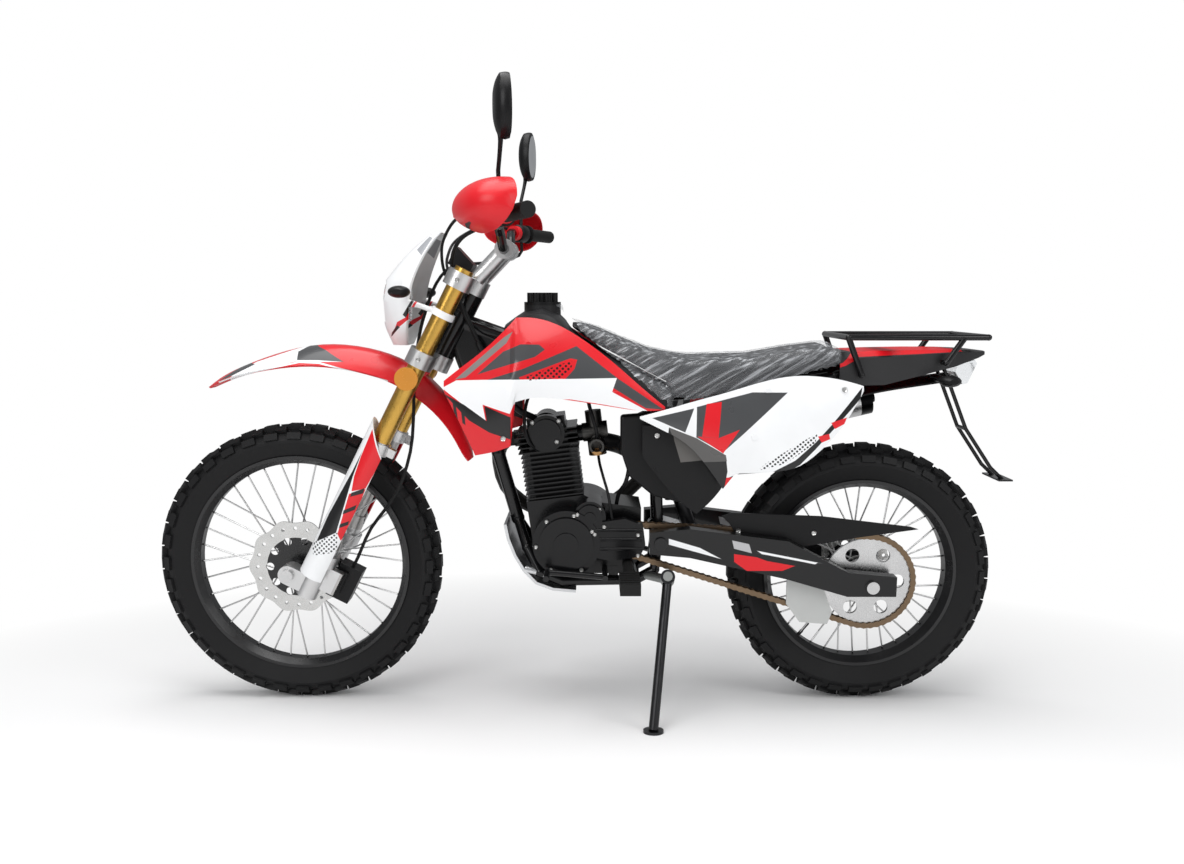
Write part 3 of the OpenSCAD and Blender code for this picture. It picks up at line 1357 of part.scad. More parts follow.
rack_front = 622;
rack_rear = 944;
rack_leg_x = [656, 850];
rack_leg_z = [for (x = rack_leg_x) rail_at(x).z];
rack_leg_lead = 40;
rack_legs = [for (i = [0, 1]) [rack_leg_x[i], -rack_half, rack_leg_z[i]]];
rack_bolt_d = 10;
rack_slot_w = rack_bolt_d * weld_share;
slat_x_shares = [0.3, 0.86];
slat_x = [for (t = slat_x_shares) mix(rack_front, rack_rear, t)];
slat_w = 34;
slat_t = 4;
slat_hole_half = 60;
module luggage_rack() {
  color("#121212") parked() difference() {
    union() {
      both_sides() {
        for (p = rack_legs) {
          across(p, -rack_half, rail_at(p.x).y, rack_bolt_d);
          translate(p) sphere(d = rack_d * weld_share);
        }
        pipe_run([rack_legs[0], [rack_front, -rack_half, rack_z], [rack_rear, -rack_half, rack_z]], rack_d);
        rod(rack_legs[1], [rack_leg_x[1] + rack_leg_lead, -rack_half, rack_z], rack_d);
      }
      for (x = [rack_front, rack_rear]) pipe_run([[x, -rack_half, rack_z], [x, rack_half, rack_z]], rack_d);
      for (s = [-1, 1], x = [rack_front, rack_rear])
        translate([x, s * rack_half, rack_z]) sphere(d = rack_d * weld_share);
      for (x = slat_x) translate([x - slat_w / 2, -rack_half, rack_z - rack_d / 2])
        cube([slat_w, 2 * rack_half, slat_t]);
    }
    for (x = slat_x, s = [-1, 1]) translate([x, s * slat_hole_half, rack_z - rack_d])
      cylinder(d = rack_hole_d, h = 2 * rack_d);
    both_sides() rails(rail_d + fit);
  }
}
lamp_corner = [898, 800];
lamp_size = [50, 58];
lamp_half = 44;
lamp_shares = [[0, 0.5], [0.36, 0], [0.6, 0.04], [1, 0.86], [0.9, 1], [0.1, 0.8]];
module tail_lamp() {
  color("#d8dcdf") parked() {
    side_plate(outline(lamp_shares, lamp_corner, lamp_size), -lamp_half, 2 * lamp_half);
    difference() {
      rod([lamp_corner.x + lamp_size.x / 2, 0, lamp_corner.y + lamp_size.y / 2],
        mix(rail_end_p, flip(rail_end_p), half_share), hanger_d);
      tail_tube(rail_d + fit);
    }
  }
}

rear_signal_p = [848, -92, 816];
module rear_indicators() {
  color("#1b1b1b") parked() both_sides() pod(rear_signal_p);
}

plate_rod_d = 9;
plate_half = 26;
plate_top = [rail_end_p.x, -plate_half, rail_end_p.z];
plate_knee = [938, -plate_half, 690];
plate_low = [1004, -plate_half, 594];
plate_end = [1034, -plate_half, 566];
plate_tab = [34, 22, 4];
module plate_bracket() {
  color("#141414") parked() {
    difference() {
      both_sides() plate_rods(plate_rod_d);
      tail_tube(rail_d + fit);
    }
    across(plate_knee, -plate_half, plate_half, plate_rod_d);
    difference() {
      translate([plate_end.x - plate_tab.x / 2, -plate_half - plate_tab.y, plate_end.z - plate_tab.z / 2])
        cube([plate_tab.x, 2 * plate_half + 2 * plate_tab.y, plate_tab.z]);
      for (s = [-1, 1])
        translate([plate_end.x, s * (plate_half + plate_tab.y / 2), plate_end.z - plate_tab.x])
        cylinder(d = plate_hole_d, h = 2 * plate_tab.x);
    }
  }
}

module plate_rods(d) {
  pipe_run([plate_top, plate_knee, plate_low, plate_end], d);
}

skid_t = 7;
skid_half = 88;
skid_corner = [-181, 297];
skid_size = [173, 169];
skid_shares = [[1, 0], [0.676, 0.03], [0.434, 0.124], [0.26, 0.314], [0.133, 0.538], [0.04, 0.787], [0, 1]];
skid_post_d = 20;
module skid_plate() {
  skid = outline(skid_shares, skid_corner, skid_size);
  color("#c7c9cb") parked() {
    side_plate(strip(skid, skid_t), -skid_half, 2 * skid_half);
    difference() {
      both_sides() rod([skid[3].x + skid_t / 2, -cradle_half, skid[3].y + skid_t / 2],
        cradle_low_p, skid_post_d);
      both_sides()
        pipe_run([down_low_p, cradle_bend_p, cradle_low_p, cradle_front_p], cradle_d + fit);
    }
  }
}

/* Foot controls */

peg_p = [116, -96, 372];
peg_l = 200;
peg_size = [46, 26];
peg_root_d = 24;
peg_root = 96;
peg_ribs = 6;
peg_groove = 5;
peg_foot_share = 0.97;
peg_foot_p = mix(cradle_front_p, cradle_rear_p, peg_foot_share);
module foot_pegs() {
  color("#1a1a1a") parked() both_sides() {
    difference() {
      pipe_run([peg_foot_p, peg_p, peg_p - [0, peg_l - peg_root, 0]], peg_root_d);
      side_tubes();
    }
    translate(peg_p - [peg_size.x / 2, peg_l, peg_size.y / 2]) difference() {
      cube([peg_size.x, peg_root, peg_size.y]);
      for (k = [1 : peg_ribs - 1])
        translate([-over, k * peg_root / peg_ribs - peg_groove / 2, peg_size.y - peg_groove])
        cube([peg_size.x + 2 * over, peg_groove, peg_size.y]);
    }
  }
}

gear_p = [62, -138, 352];
gear_toe = [-74, -150, 368];
gear_toe_l = 54;
gear_d = 14;
module gear_lever() {
  color("#202020") parked() {
    across(gear_p, gear_p.y - gear_d, -crank_half, gear_d);
    pipe_run([gear_p, gear_toe, gear_toe - [0, gear_toe_l, 0]], gear_d);
  }
}

pedal_p = [upright_low_p.x, 118, upright_low_p.z];
pedal_toe = [-70, 176, 362];
pedal_toe_l = 40;
pedal_knee_y = 162;
module brake_pedal() {
  root = upright_half + cradle_d / 2 * weld_share + running;
  color("#202020") parked() pipe_run([[pedal_p.x, root, pedal_p.z], pedal_p,
    [pedal_p.x - pedal_toe_l, pedal_knee_y, pedal_p.z], pedal_toe, pedal_toe + [0, pedal_toe_l, 0]], gear_d);
}

/* Shock, rear brake and chain pieces */

shock_low = pivot_p + [swing_bridge, 0, 0];
shock_high = spine_p;
shock_d = 34;
spring_d = 66;
spring_wire = 11;
spring_turns = 8;
spring_shares = [0.26, 0.82];
spring_steps = 10;
spring_seat = 10;
module rear_shock() {
  v = shock_high - shock_low;
  along = unit(v);
  side = cross([0, 1, 0], along);
  seats = [for (s = spring_shares) shock_low + v * s];
  coil = [for (k = [0 : spring_turns * spring_steps]) let (a = 360 * k / spring_steps)
    mix(seats[0], seats[1], k / (spring_turns * spring_steps))
      + (spring_d - spring_wire) / 2 * (cos(a) * side + sin(a) * [0, 1, 0])];
  color("#b3161c") parked() {
    difference() {
      rod(shock_low, shock_high, shock_d);
      across(pivot_p + [swing_bridge, 0, 0], -swing_half, swing_half, swing_bridge_d + fit);
      both_sides() rod(knee_p, spine_p, cradle_d + fit);
      translate(spine_p) sphere(d = backbone_d * weld_share + fit);
    }
    for (q = seats)
      rod(q - along * spring_seat / 2, q + along * spring_seat / 2, spring_d + spring_wire / 2);
    swept(coil, spring_wire, along, 6);
  }
}

rear_caliper = [76, 58];
rear_caliper_ahead = 118;
module rear_brake_caliper() {
  color("#1c1c1c") parked() difference() {
    translate([rear_axle_p.x - rear_caliper_ahead - rear_caliper.x / 2, caliper_in,
      rear_axle_p.z + axle_block_h / 2])
      cube([rear_caliper.x, swing_in - caliper_in, rear_caliper.y]);
    across(rear_axle_p, boss_half - pad_gap, boss_half + disc_t + pad_gap, 2 * (rear_disc_r + clear_gap));
  }
}

guard_x = 340;
guard_z = 398;
guard_size = [470, 100];
guard_y = chain_y + chain_w / 2 + clear_gap / 2;
chain_guard_shares = [[0, 0.92], [0.05, 1], [0.5, 0.92], [0.96, 0.66], [1, 0.6], [0.7, 0.4], [0.4, 0.16],
  [0.1, 0.3], [0.04, 0.74]];
module chain_guard() {
  color("#161616") parked() {
    side_plate(outline(chain_guard_shares, [guard_x, guard_z], guard_size), guard_y, panel_t);
    for (x = guard_bolt_x) across([x, 0, guard_bolt_z], -swing_in, -guard_y - over, guard_bolt_d);
  }
}
guard_bolt_d = 10;
guard_bolt_x = [430, 500];
guard_bolt_z = 428;

guide_corner = [500, 222];
guide_size = [112, 102];
guide_shares = [[0, 1], [0.02, 1.36], [0.26, 1.36], [0.3, 1], [0.75, 1], [1, 0.3], [0.9, 0], [0.3, 0.05],
  [0, 0.5]];
guide_bolt_shares = [0.14, 1.28];
module chain_guide() {
  bolt = outline([guide_bolt_shares], guide_corner, guide_size)[0];
  color("#c9cbcd") parked() {
    side_plate(outline(guide_shares, guide_corner, guide_size), guard_y, panel_t);
    across([bolt.x, 0, bolt.y], -swing_in, -guard_y - over, guard_bolt_d);
  }
}

/* Side stand */

stand_p = [stand_x, -stand_y, stand_z];
stand_foot_y = -stand_y - stand_reach;
stand_foot_p = [stand_x - stand_lead, stand_foot_y,
  (-park_z - stand_foot_y * sin(lean_angle)) / cos(lean_angle)];
stand_down = unit(stand_foot_p - stand_p);
// Direction of the leg when it is swung up along the swingarm
stand_up = unit([0.97, -0.15, -0.19]);
stand_axis = unit(cross(stand_down, stand_up));
stand_eye_d = 34;
stand_eye = 24;
stand_boss = 44;
stand_head_d = 22;
stand_head = 6;
stand_foot_d = 46;
stand_foot_t = 6;
module side_stand() {
  color("#3a3b3d") parked() difference() {
    union() {
      rod(stand_p - stand_axis * stand_eye / 2, stand_p + stand_axis * stand_eye / 2, stand_eye_d);
      rod(stand_p, stand_foot_p + [0, 0, stand_foot_t], stand_d);
      translate(stand_foot_p) rotate([-lean_angle, 0, 0]) cylinder(d = stand_foot_d, h = stand_foot_t);
    }
    rod(stand_p - stand_axis * stand_d, stand_p + stand_axis * stand_d, stand_pin_d + fit);
    translate(stand_foot_p) rotate([-lean_angle, 0, 0]) lift(-stand_d)
      cylinder(d = 2 * stand_foot_d, h = stand_d);
  }
}
stand_face = stand_axis * (stand_eye / 2 + turn_gap);
stand_root = stand_p - stand_face - stand_axis * stand_boss;
stand_link = mix(cradle_rear_p, upright_low_p, half_share);
module stand_bracket() {
  color("#8b8d90") parked() difference() {
    union() {
      rod(stand_root, stand_p - stand_face, stand_eye_d);
      rod(stand_p - stand_axis * stand_boss, stand_p + stand_face + stand_axis * stand_head, stand_pin_d);
      rod(stand_p + stand_face, stand_p + stand_face + stand_axis * stand_head, stand_head_d);
      rod(stand_root + stand_axis * stand_d / 2, stand_link, stand_d);
    }
    side_tubes();
  }
}

frame();
swingarm();
rear_shock();
engine_crankcase();
engine_cylinder();
carburettor();
exhaust_pipe();
muffler();
fuel_tank();
fuel_cap();
shroud_left();
shroud_right();
seat();
side_panel_left();
side_panel_right();
airbox_cover();
tail_fairing();
rear_fender();
luggage_rack();
tail_lamp();
rear_indicators();
plate_bracket();
skid_plate();
foot_pegs();
gear_lever();
brake_pedal();
stand_bracket();
rear_axle();
rear_brake_caliper();
drive_chain();
chain_guard();
chain_guide();
upper_clamp();
lower_clamp();
fork_tubes();
fork_legs();
front_axle();
fork_guards();
front_fender();
handlebar();
grips();
hand_levers();
hand_guards();
mirrors();
headlamp_mask();
headlamp();
front_indicators();
reflectors();
instrument();
front_brake_caliper();
front_brake_hose();
front_tyre();
front_wheel();
front_disc();
rear_tyre();
rear_wheel();
rear_sprocket();
rear_disc();
side_stand();
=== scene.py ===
# %% [markdown]
# # A trail motorcycle, dressed in Blender
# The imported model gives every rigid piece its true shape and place. This lesson adds what a model of solids
# can't hold: paint, graphics, rubber, cast metal, the padded seat and its clear film, glass and small
# fasteners. The frame comes first, so that each new piece can be measured against the piece that carries it.

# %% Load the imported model
import json
import math
import bmesh
import bpy
from mathutils import Matrix, Vector, geometry, noise
from mathutils.bvhtree import BVHTree

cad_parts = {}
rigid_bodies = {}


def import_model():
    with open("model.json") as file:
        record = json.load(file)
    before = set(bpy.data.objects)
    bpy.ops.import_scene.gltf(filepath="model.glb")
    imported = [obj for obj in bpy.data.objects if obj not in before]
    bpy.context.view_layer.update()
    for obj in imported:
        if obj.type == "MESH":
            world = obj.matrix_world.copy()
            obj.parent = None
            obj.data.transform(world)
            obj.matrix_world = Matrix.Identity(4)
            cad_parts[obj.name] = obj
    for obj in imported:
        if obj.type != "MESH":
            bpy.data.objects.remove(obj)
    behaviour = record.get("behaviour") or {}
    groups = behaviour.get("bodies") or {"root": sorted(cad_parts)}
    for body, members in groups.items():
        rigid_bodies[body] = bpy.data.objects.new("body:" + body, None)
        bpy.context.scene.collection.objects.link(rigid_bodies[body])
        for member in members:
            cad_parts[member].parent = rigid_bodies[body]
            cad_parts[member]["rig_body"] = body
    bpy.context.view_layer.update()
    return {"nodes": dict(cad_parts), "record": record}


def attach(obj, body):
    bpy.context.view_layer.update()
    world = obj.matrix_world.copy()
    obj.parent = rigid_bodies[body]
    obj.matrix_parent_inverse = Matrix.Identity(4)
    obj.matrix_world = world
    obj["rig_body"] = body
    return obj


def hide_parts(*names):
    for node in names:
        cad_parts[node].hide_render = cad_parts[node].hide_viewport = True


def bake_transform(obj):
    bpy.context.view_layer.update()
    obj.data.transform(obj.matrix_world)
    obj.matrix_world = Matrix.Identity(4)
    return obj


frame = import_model()
nodes = frame["nodes"]
slot_of = {part["node"]: part["material_slot"] for part in frame["record"]["subparts"]}
scene = bpy.context.scene
scene.view_settings.view_transform = "Standard"

# %% [markdown]
# ## Where the motorcycle leans
# A parked motorcycle leans on its stand, so its own upright axes are turned in the shared frame. Graphics and
# new pieces are laid out in the upright axes: x to the rear, y to the rider's right, z up from the ground.
# One matrix turns them into place. The same turn, run backwards in a Mapping node, lets a material read
# upright places. The wheels' axles are named here too, because discs, rims, valves and the fork are set out
# from them.

# %% Upright axes of the motorcycle
LEAN = math.radians(8.4)
PARK_SHIFT = (-0.003, 0.1715, 0.00175)
PARK = Matrix.Translation(PARK_SHIFT) @ Matrix.Rotation(LEAN, 4, "X")
UNPARK = PARK.inverted()
FRONT_AXLE = (-695.5, 350)  # upright millimetres in the side view, as all (x, z) pairs below
REAR_AXLE = (695.5, 326)


def place(x, y, z):
    """A point given in upright millimetres, in the shared frame in metres."""
    return PARK @ Vector((x / 1000, y / 1000, z / 1000))


# %% [markdown]
# ## Camera and studio
# The photograph was taken square to the motorcycle's left side from about two metres, so the lens is wide and
# the wheels show some perspective. The light is a large soft box above and one on each side of the camera.
# The floor is pale, takes the soft shadow under the tyres and fades to white further out. Only the camera
# sees that white, directly or through glass, so it adds no light to the motorcycle.

# %% Camera
SENSOR = 36.0  # millimetres
PHOTO_WIDE = 1184  # pixels
FOCAL = 900.2354  # focal length in those pixels, fitted to the two wheels
TILT_DOWN = 0.0013  # radians
PAN = 0.0024  # radians to the left
camera_data = bpy.data.cameras.new("camera")
camera_data.sensor_width = SENSOR
camera_data.lens = SENSOR * FOCAL / PHOTO_WIDE
camera = bpy.data.objects.new("camera", camera_data)
camera.location = (0.0333, -2.1424, 0.6755)
camera.rotation_euler = (math.radians(90) - TILT_DOWN, 0.0, PAN)
scene.collection.objects.link(camera)
scene.camera = camera
print("camera lens", round(camera_data.lens, 2), "mm")

# %% Lamps
def soft_box(name, at, aim, size, watts):
    """A square lamp that faces a point."""
    data = bpy.data.lights.new(name, "AREA")
    data.shape = "SQUARE"
    data.size = size
    data.energy = watts
    lamp = bpy.data.objects.new(name, data)
    lamp.location = at
    lamp.rotation_euler = (Vector(aim) - Vector(at)).to_track_quat("-Z", "Y").to_euler()
    scene.collection.objects.link(lamp)


# name, place, point that it faces, size in metres, watts
LAMPS = [
    ("lamp_top", (-0.3, -0.6, 3.4), (0, 0, 0.5), 2.6, 84),
    ("lamp_front", (-1.6, -3.0, 2.0), (0, 0, 0.6), 1.8, 46),
    ("lamp_rear", (2.4, -2.2, 1.9), (0.2, 0, 0.6), 1.6, 30),
]
for lamp in LAMPS:
    soft_box(*lamp)

# %% Node helpers
def node(tree, kind, **settings):
    """A new node with some of its settings."""
    made = tree.nodes.new("ShaderNode" + kind)
    for key, value in settings.items():
        setattr(made, key, value)
    return made


def math_node(tree, operation, a, b=None, clamp=False):
    """The output of a Math node. a and b are sockets or numbers."""
    made = node(tree, "Math", operation=operation, use_clamp=clamp)
    for value, socket in zip((a, b), made.inputs):
        if isinstance(value, (int, float)):
            socket.default_value = value
        elif value is not None:
            tree.links.new(value, socket)
    return made.outputs[0]


def seen(tree):
    """1 for what the camera sees, directly or through glass, and 0 for what only gives light."""
    path = node(tree, "LightPath")
    return math_node(tree, "MAXIMUM", path.outputs["Is Camera Ray"], path.outputs["Is Transmission Ray"])


def mix_shaders(tree, share, below, above, output):
    """Two shader nodes mixed by a share, into a new output node of the given kind."""
    both = node(tree, "MixShader")
    tree.links.new(share, both.inputs["Fac"])
    tree.links.new(below.outputs[0], both.inputs[1])
    tree.links.new(above.outputs[0], both.inputs[2])
    tree.links.new(both.outputs[0], node(tree, output).inputs["Surface"])


print("node helpers ready")

# %% World
FILL = 0.34  # strength of the light from all round
world = bpy.data.worlds.new("studio")
scene.world = world
world.use_nodes = True
tree = world.node_tree
tree.nodes.clear()
white = node(tree, "Background")
white.inputs["Color"].default_value = (1, 1, 1, 1)
white.inputs["Strength"].default_value = 1.0
fill = node(tree, "Background")
fill.inputs["Color"].default_value = (0.97, 0.98, 1, 1)
fill.inputs["Strength"].default_value = FILL
mix_shaders(tree, seen(tree), fill, white, "OutputWorld")
print("world: white where seen, soft fill elsewhere")

# %% Floor
FLOOR_R = 14.0
FADE_FROM = 0.9  # metres from the middle
FADE_TO = 2.2
bm = bmesh.new()
bmesh.ops.create_circle(bm, cap_ends=True, radius=FLOOR_R, segments=96)
floor_mesh = bpy.data.meshes.new("floor")
bm.to_mesh(floor_mesh)
bm.free()
floor = bpy.data.objects.new("floor", floor_mesh)
scene.collection.objects.link(floor)
floor_paint = bpy.data.materials.new("floor_paint")
floor_paint.use_nodes = True
tree = floor_paint.node_tree
tree.nodes.clear()
matt = node(tree, "BsdfDiffuse")
matt.inputs["Color"].default_value = (0.93, 0.93, 0.93, 1)
glow = node(tree, "Emission")
glow.inputs["Strength"].default_value = 1.0
coords = node(tree, "TexCoord")
away = node(tree, "VectorMath", operation="LENGTH")
tree.links.new(coords.outputs["Object"], away.inputs[0])
fade = node(tree, "MapRange")
fade.inputs["From Min"].default_value = FADE_FROM
fade.inputs["From Max"].default_value = FADE_TO
tree.links.new(away.outputs["Value"], fade.inputs["Value"])
mix_shaders(tree, math_node(tree, "MULTIPLY", seen(tree), fade.outputs[0]), matt, glow, "OutputMaterial")
floor_mesh.materials.append(floor_paint)
print("floor: a disc of", 2 * FLOOR_R, "m that fades to white")

# %% [markdown]
# ## Shared shader groups
# Some effects come back in many finishes: the edge of a painted shape, the fine grain of moulded plastic, the
# streaks of drawn or brushed metal, and patches of printed dots. Each is a node group with named sockets, so
# that a finish is a short list of choices. A group only gives masks and heights, and the shader stays in the
# material.

# %% Group helpers
def new_group(name, inputs, outputs):
    """An empty shader group and its two end nodes."""
    group = bpy.data.node_groups.new(name, "ShaderNodeTree")
    for title, kind, value in inputs:
        socket = group.interface.new_socket(title, in_out="INPUT", socket_type=kind)
        if value is not None:
            socket.default_value = value
    for title, kind in outputs:
        group.interface.new_socket(title, in_out="OUTPUT", socket_type=kind)
    return group, group.nodes.new("NodeGroupInput"), group.nodes.new("NodeGroupOutput")


SHARP = 1.2  # how fast a printed edge turns from 0 to 1, per millimetre
print("group helpers ready")

# %% Group: one side of a painted edge
EDGE, start, end = new_group(
    "painted_edge",
    [("Place", "NodeSocketVector", None), ("Across", "NodeSocketVector", (1.0, 0.0, 0.0)),
     ("Reach", "NodeSocketFloat", 0.0), ("Inside", "NodeSocketFloat", 1.0)],
    [("Inside", "NodeSocketFloat")],
)
gone = node(EDGE, "VectorMath", operation="DOT_PRODUCT")
EDGE.links.new(start.outputs["Place"], gone.inputs[0])
EDGE.links.new(start.outputs["Across"], gone.inputs[1])
soft = math_node(EDGE, "ADD", gone.outputs["Value"], start.outputs["Reach"], clamp=True)
EDGE.links.new(math_node(EDGE, "MULTIPLY", soft, start.outputs["Inside"]), end.inputs["Inside"])
print("group:", EDGE.name)

# %% Group: moulded grain
GRAIN, start, end = new_group(
    "moulded_grain",
    [("Place", "NodeSocketVector", None), ("Scale", "NodeSocketFloat", 900.0)],
    [("Height", "NodeSocketFloat"), ("Shade", "NodeSocketFloat")],
)
pits = node(GRAIN, "TexVoronoi")
GRAIN.links.new(start.outputs["Place"], pits.inputs["Vector"])
GRAIN.links.new(start.outputs["Scale"], pits.inputs["Scale"])
cloud = node(GRAIN, "TexNoise")
cloud.inputs["Scale"].default_value = 14.0
cloud.inputs["Detail"].default_value = 5.0
GRAIN.links.new(start.outputs["Place"], cloud.inputs["Vector"])
GRAIN.links.new(pits.outputs["Distance"], end.inputs["Height"])
GRAIN.links.new(cloud.outputs["Fac"], end.inputs["Shade"])
print("group:", GRAIN.name)

# %% Group: drawn or brushed metal
STREAK, start, end = new_group(
    "metal_streaks",
    [("Place", "NodeSocketVector", None), ("Stretch", "NodeSocketVector", (40.0, 400.0, 400.0))],
    [("Height", "NodeSocketFloat"), ("Shade", "NodeSocketFloat")],
)
longer = node(STREAK, "VectorMath", operation="MULTIPLY")
STREAK.links.new(start.outputs["Place"], longer.inputs[0])
STREAK.links.new(start.outputs["Stretch"], longer.inputs[1])
lines = node(STREAK, "TexNoise")
lines.inputs["Scale"].default_value = 1.0
lines.inputs["Detail"].default_value = 3.0
STREAK.links.new(longer.outputs[0], lines.inputs["Vector"])
cloud = node(STREAK, "TexNoise")
cloud.inputs["Scale"].default_value = 22.0
cloud.inputs["Detail"].default_value = 4.0
STREAK.links.new(start.outputs["Place"], cloud.inputs["Vector"])
STREAK.links.new(lines.outputs["Fac"], end.inputs["Height"])
STREAK.links.new(cloud.outputs["Fac"], end.inputs["Shade"])
print("group:", STREAK.name)

# %% Group: printed dots
DOTS, start, end = new_group(
    "printed_dots",
    [("Place", "NodeSocketVector", None), ("Pitch", "NodeSocketFloat", 0.007),
     ("Size", "NodeSocketFloat", 0.36)],
    [("Inside", "NodeSocketFloat")],
)
tilted = node(DOTS, "Mapping")
tilted.inputs["Rotation"].default_value = (0.0, math.radians(40), 0.0)
DOTS.links.new(start.outputs["Place"], tilted.inputs["Vector"])
split = node(DOTS, "SeparateXYZ")
DOTS.links.new(tilted.outputs[0], split.inputs[0])
steps = []
for axis in ("X", "Z"):
    cell = math_node(DOTS, "FRACT", math_node(DOTS, "DIVIDE", split.outputs[axis], start.outputs["Pitch"]))
    off = math_node(DOTS, "SUBTRACT", cell, 0.5)
    steps.append(math_node(DOTS, "MULTIPLY", off, off))
apart = math_node(DOTS, "SQRT", math_node(DOTS, "ADD", steps[0], steps[1]))
DOT_SHARP = 12.0  # how fast a dot's edge turns from 0 to 1, per pitch
depth_in = math_node(DOTS, "SUBTRACT", start.outputs["Size"], apart)
DOTS.links.new(math_node(DOTS, "MULTIPLY", depth_in, DOT_SHARP, clamp=True), end.inputs["Inside"])
print("group:", DOTS.name)

# %% [markdown]
# ## Finishes
# A finish is a Principled shader with a colour that varies a little, a roughness that varies with it, and a
# fine bump. One function opens a material and gives the upright place, and one function per family fills it
# in. The graphics are flat shapes, so they are drawn as outlines in the side view: each outline is cut in
# triangles, and each triangle is the product of three edge masks. That stays sharp at any size and needs no
# picture.

# %% Material helpers
def open_material(name):
    """A cleared material: (material, tree, shader, upright place)."""
    material = bpy.data.materials.new(name)
    material.use_nodes = True
    tree = material.node_tree
    tree.nodes.clear()
    out = node(tree, "OutputMaterial")
    shader = node(tree, "BsdfPrincipled")
    tree.links.new(shader.outputs[0], out.inputs["Surface"])
    coords = node(tree, "TexCoord")
    upright = node(tree, "Mapping")
    upright.inputs["Rotation"].default_value = UNPARK.to_euler()
    upright.inputs["Location"].default_value = UNPARK.translation
    tree.links.new(coords.outputs["Object"], upright.inputs["Vector"])
    return material, tree, shader, upright.outputs[0]


def use_group(tree, group, place, **values):
    """A group node fed with the place."""
    made = node(tree, "Group", node_tree=group)
    tree.links.new(place, made.inputs["Place"])
    for key, value in values.items():
        made.inputs[key].default_value = value
    return made


def mix_colour(tree, share, below, above):
    """above painted over below where share is 1. Colours are sockets or (r, g, b)."""
    made = node(tree, "Mix", data_type="RGBA")
    tree.links.new(share, made.inputs["Factor"])
    for value, socket in ((below, made.inputs[6]), (above, made.inputs[7])):
        if isinstance(value, tuple):
            socket.default_value = (*value, 1.0)
        else:
            tree.links.new(value, socket)
    return made.outputs[2]


def ranged(tree, value, low, high, span=(0.3, 0.7)):
    """A noise value, which mostly stays within a span, spread between low and high."""
    made = node(tree, "MapRange")
    tree.links.new(value, made.inputs["Value"])
    made.inputs["From Min"].default_value = span[0]
    made.inputs["From Max"].default_value = span[1]
    made.inputs["To Min"].default_value = low
    made.inputs["To Max"].default_value = high
    return made.outputs[0]


def bump(tree, shader, height, depth, strength=1.0):
    """Bump of a depth in metres on a shader."""
    made = node(tree, "Bump")
    made.inputs["Distance"].default_value = depth
    made.inputs["Strength"].default_value = strength
    tree.links.new(height, made.inputs["Height"])
    tree.links.new(made.outputs[0], shader.inputs["Normal"])


def inside(tree, place, corners):
    """1 inside an outline of (x, z) upright millimetres, 0 outside."""
    flat = [Vector((x, z, 0.0)) for x, z in corners]
    total = None
    for tri in geometry.tessellate_polygon([flat]):
        a, b, c = (flat[i] for i in tri)
        if (b - a).cross(c - a).z < 0:
            b, c = c, b
        mask = None
        for p, q in ((a, b), (b, c), (c, a)):
            left = Vector((p.y - q.y, q.x - p.x)).normalized() * SHARP
            edge = use_group(tree, EDGE, place, Across=(left.x * 1000, 0.0, left.y * 1000),
                             Reach=0.5 - left.dot(p.xy))
            if mask is not None:
                tree.links.new(mask, edge.inputs["Inside"])
            mask = edge.outputs[0]
        total = mask if total is None else math_node(tree, "ADD", total, mask, clamp=True)
    return total


def level(tree, place, centre):
    """The place with y left out, measured from an upright point in millimetres (x, z)."""
    moved = node(tree, "Mapping")
    moved.inputs["Location"].default_value = (-centre[0] / 1000, 0.0, -centre[1] / 1000)
    tree.links.new(place, moved.inputs["Vector"])
    flat = node(tree, "VectorMath", operation="MULTIPLY")
    flat.inputs[1].default_value = (1.0, 0.0, 1.0)
    tree.links.new(moved.outputs[0], flat.inputs[0])
    return flat.outputs[0]


def within(tree, place, centre, radius):
    """1 nearer than a radius (mm) to an upright point in the side view."""
    away = node(tree, "VectorMath", operation="LENGTH")
    tree.links.new(level(tree, place, centre), away.inputs[0])
    depth_in = math_node(tree, "SUBTRACT", radius / 1000, away.outputs["Value"])
    return math_node(tree, "MULTIPLY", depth_in, SHARP * 1000, clamp=True)


print("material helpers ready")

# %% Outlines of bands and lines
def along(start, way, near, far, half):
    """The outline of a band on a straight piece: from near to far (mm) along a way, half wide each way."""
    dx, dz = Vector(way).normalized()
    return [(start[0] + dx * s - dz * w, start[1] + dz * s + dx * w)
            for s, w in ((near, -half), (far, -half), (far, half), (near, half))]


def thin_line(points, wide):
    """The outlines of a line of a width (mm) through points in the side view."""
    return [along(p, (q[0] - p[0], q[1] - p[1]), 0.0, math.dist(p, q), wide / 2)
            for p, q in zip(points, points[1:])]


RAKE = math.radians(27.3)
FORK_WAY = (math.sin(RAKE), math.cos(RAKE))
FORK_BEHIND = 57  # how far the fork tubes' middle line passes behind the axle, in mm


def in_fork(behind, up_fork):
    """The side view place of a point given in mm along the fork: how far behind the axle, and how far up."""
    return (FRONT_AXLE[0] + behind * FORK_WAY[1] + up_fork * FORK_WAY[0],
            FRONT_AXLE[1] + up_fork * FORK_WAY[1] - behind * FORK_WAY[0])


print("fork leans", round(math.degrees(RAKE), 1), "degrees")

# %% Plastic, paint and rubber
def printed(tree, upright, colour, shapes, dotted):
    """The printed shapes, then the dotted patches, painted over a colour in turn."""
    for ink, outline in shapes:
        colour = mix_colour(tree, inside(tree, upright, outline), colour, ink)
    for ink, outline, pitch in dotted:
        dots = use_group(tree, DOTS, upright, Pitch=pitch)
        spots = math_node(tree, "MULTIPLY", inside(tree, upright, outline), dots.outputs["Inside"])
        colour = mix_colour(tree, spots, colour, ink)
    return colour


DARK = 0.02  # colours below this reflect less, as rubber and matt paint do


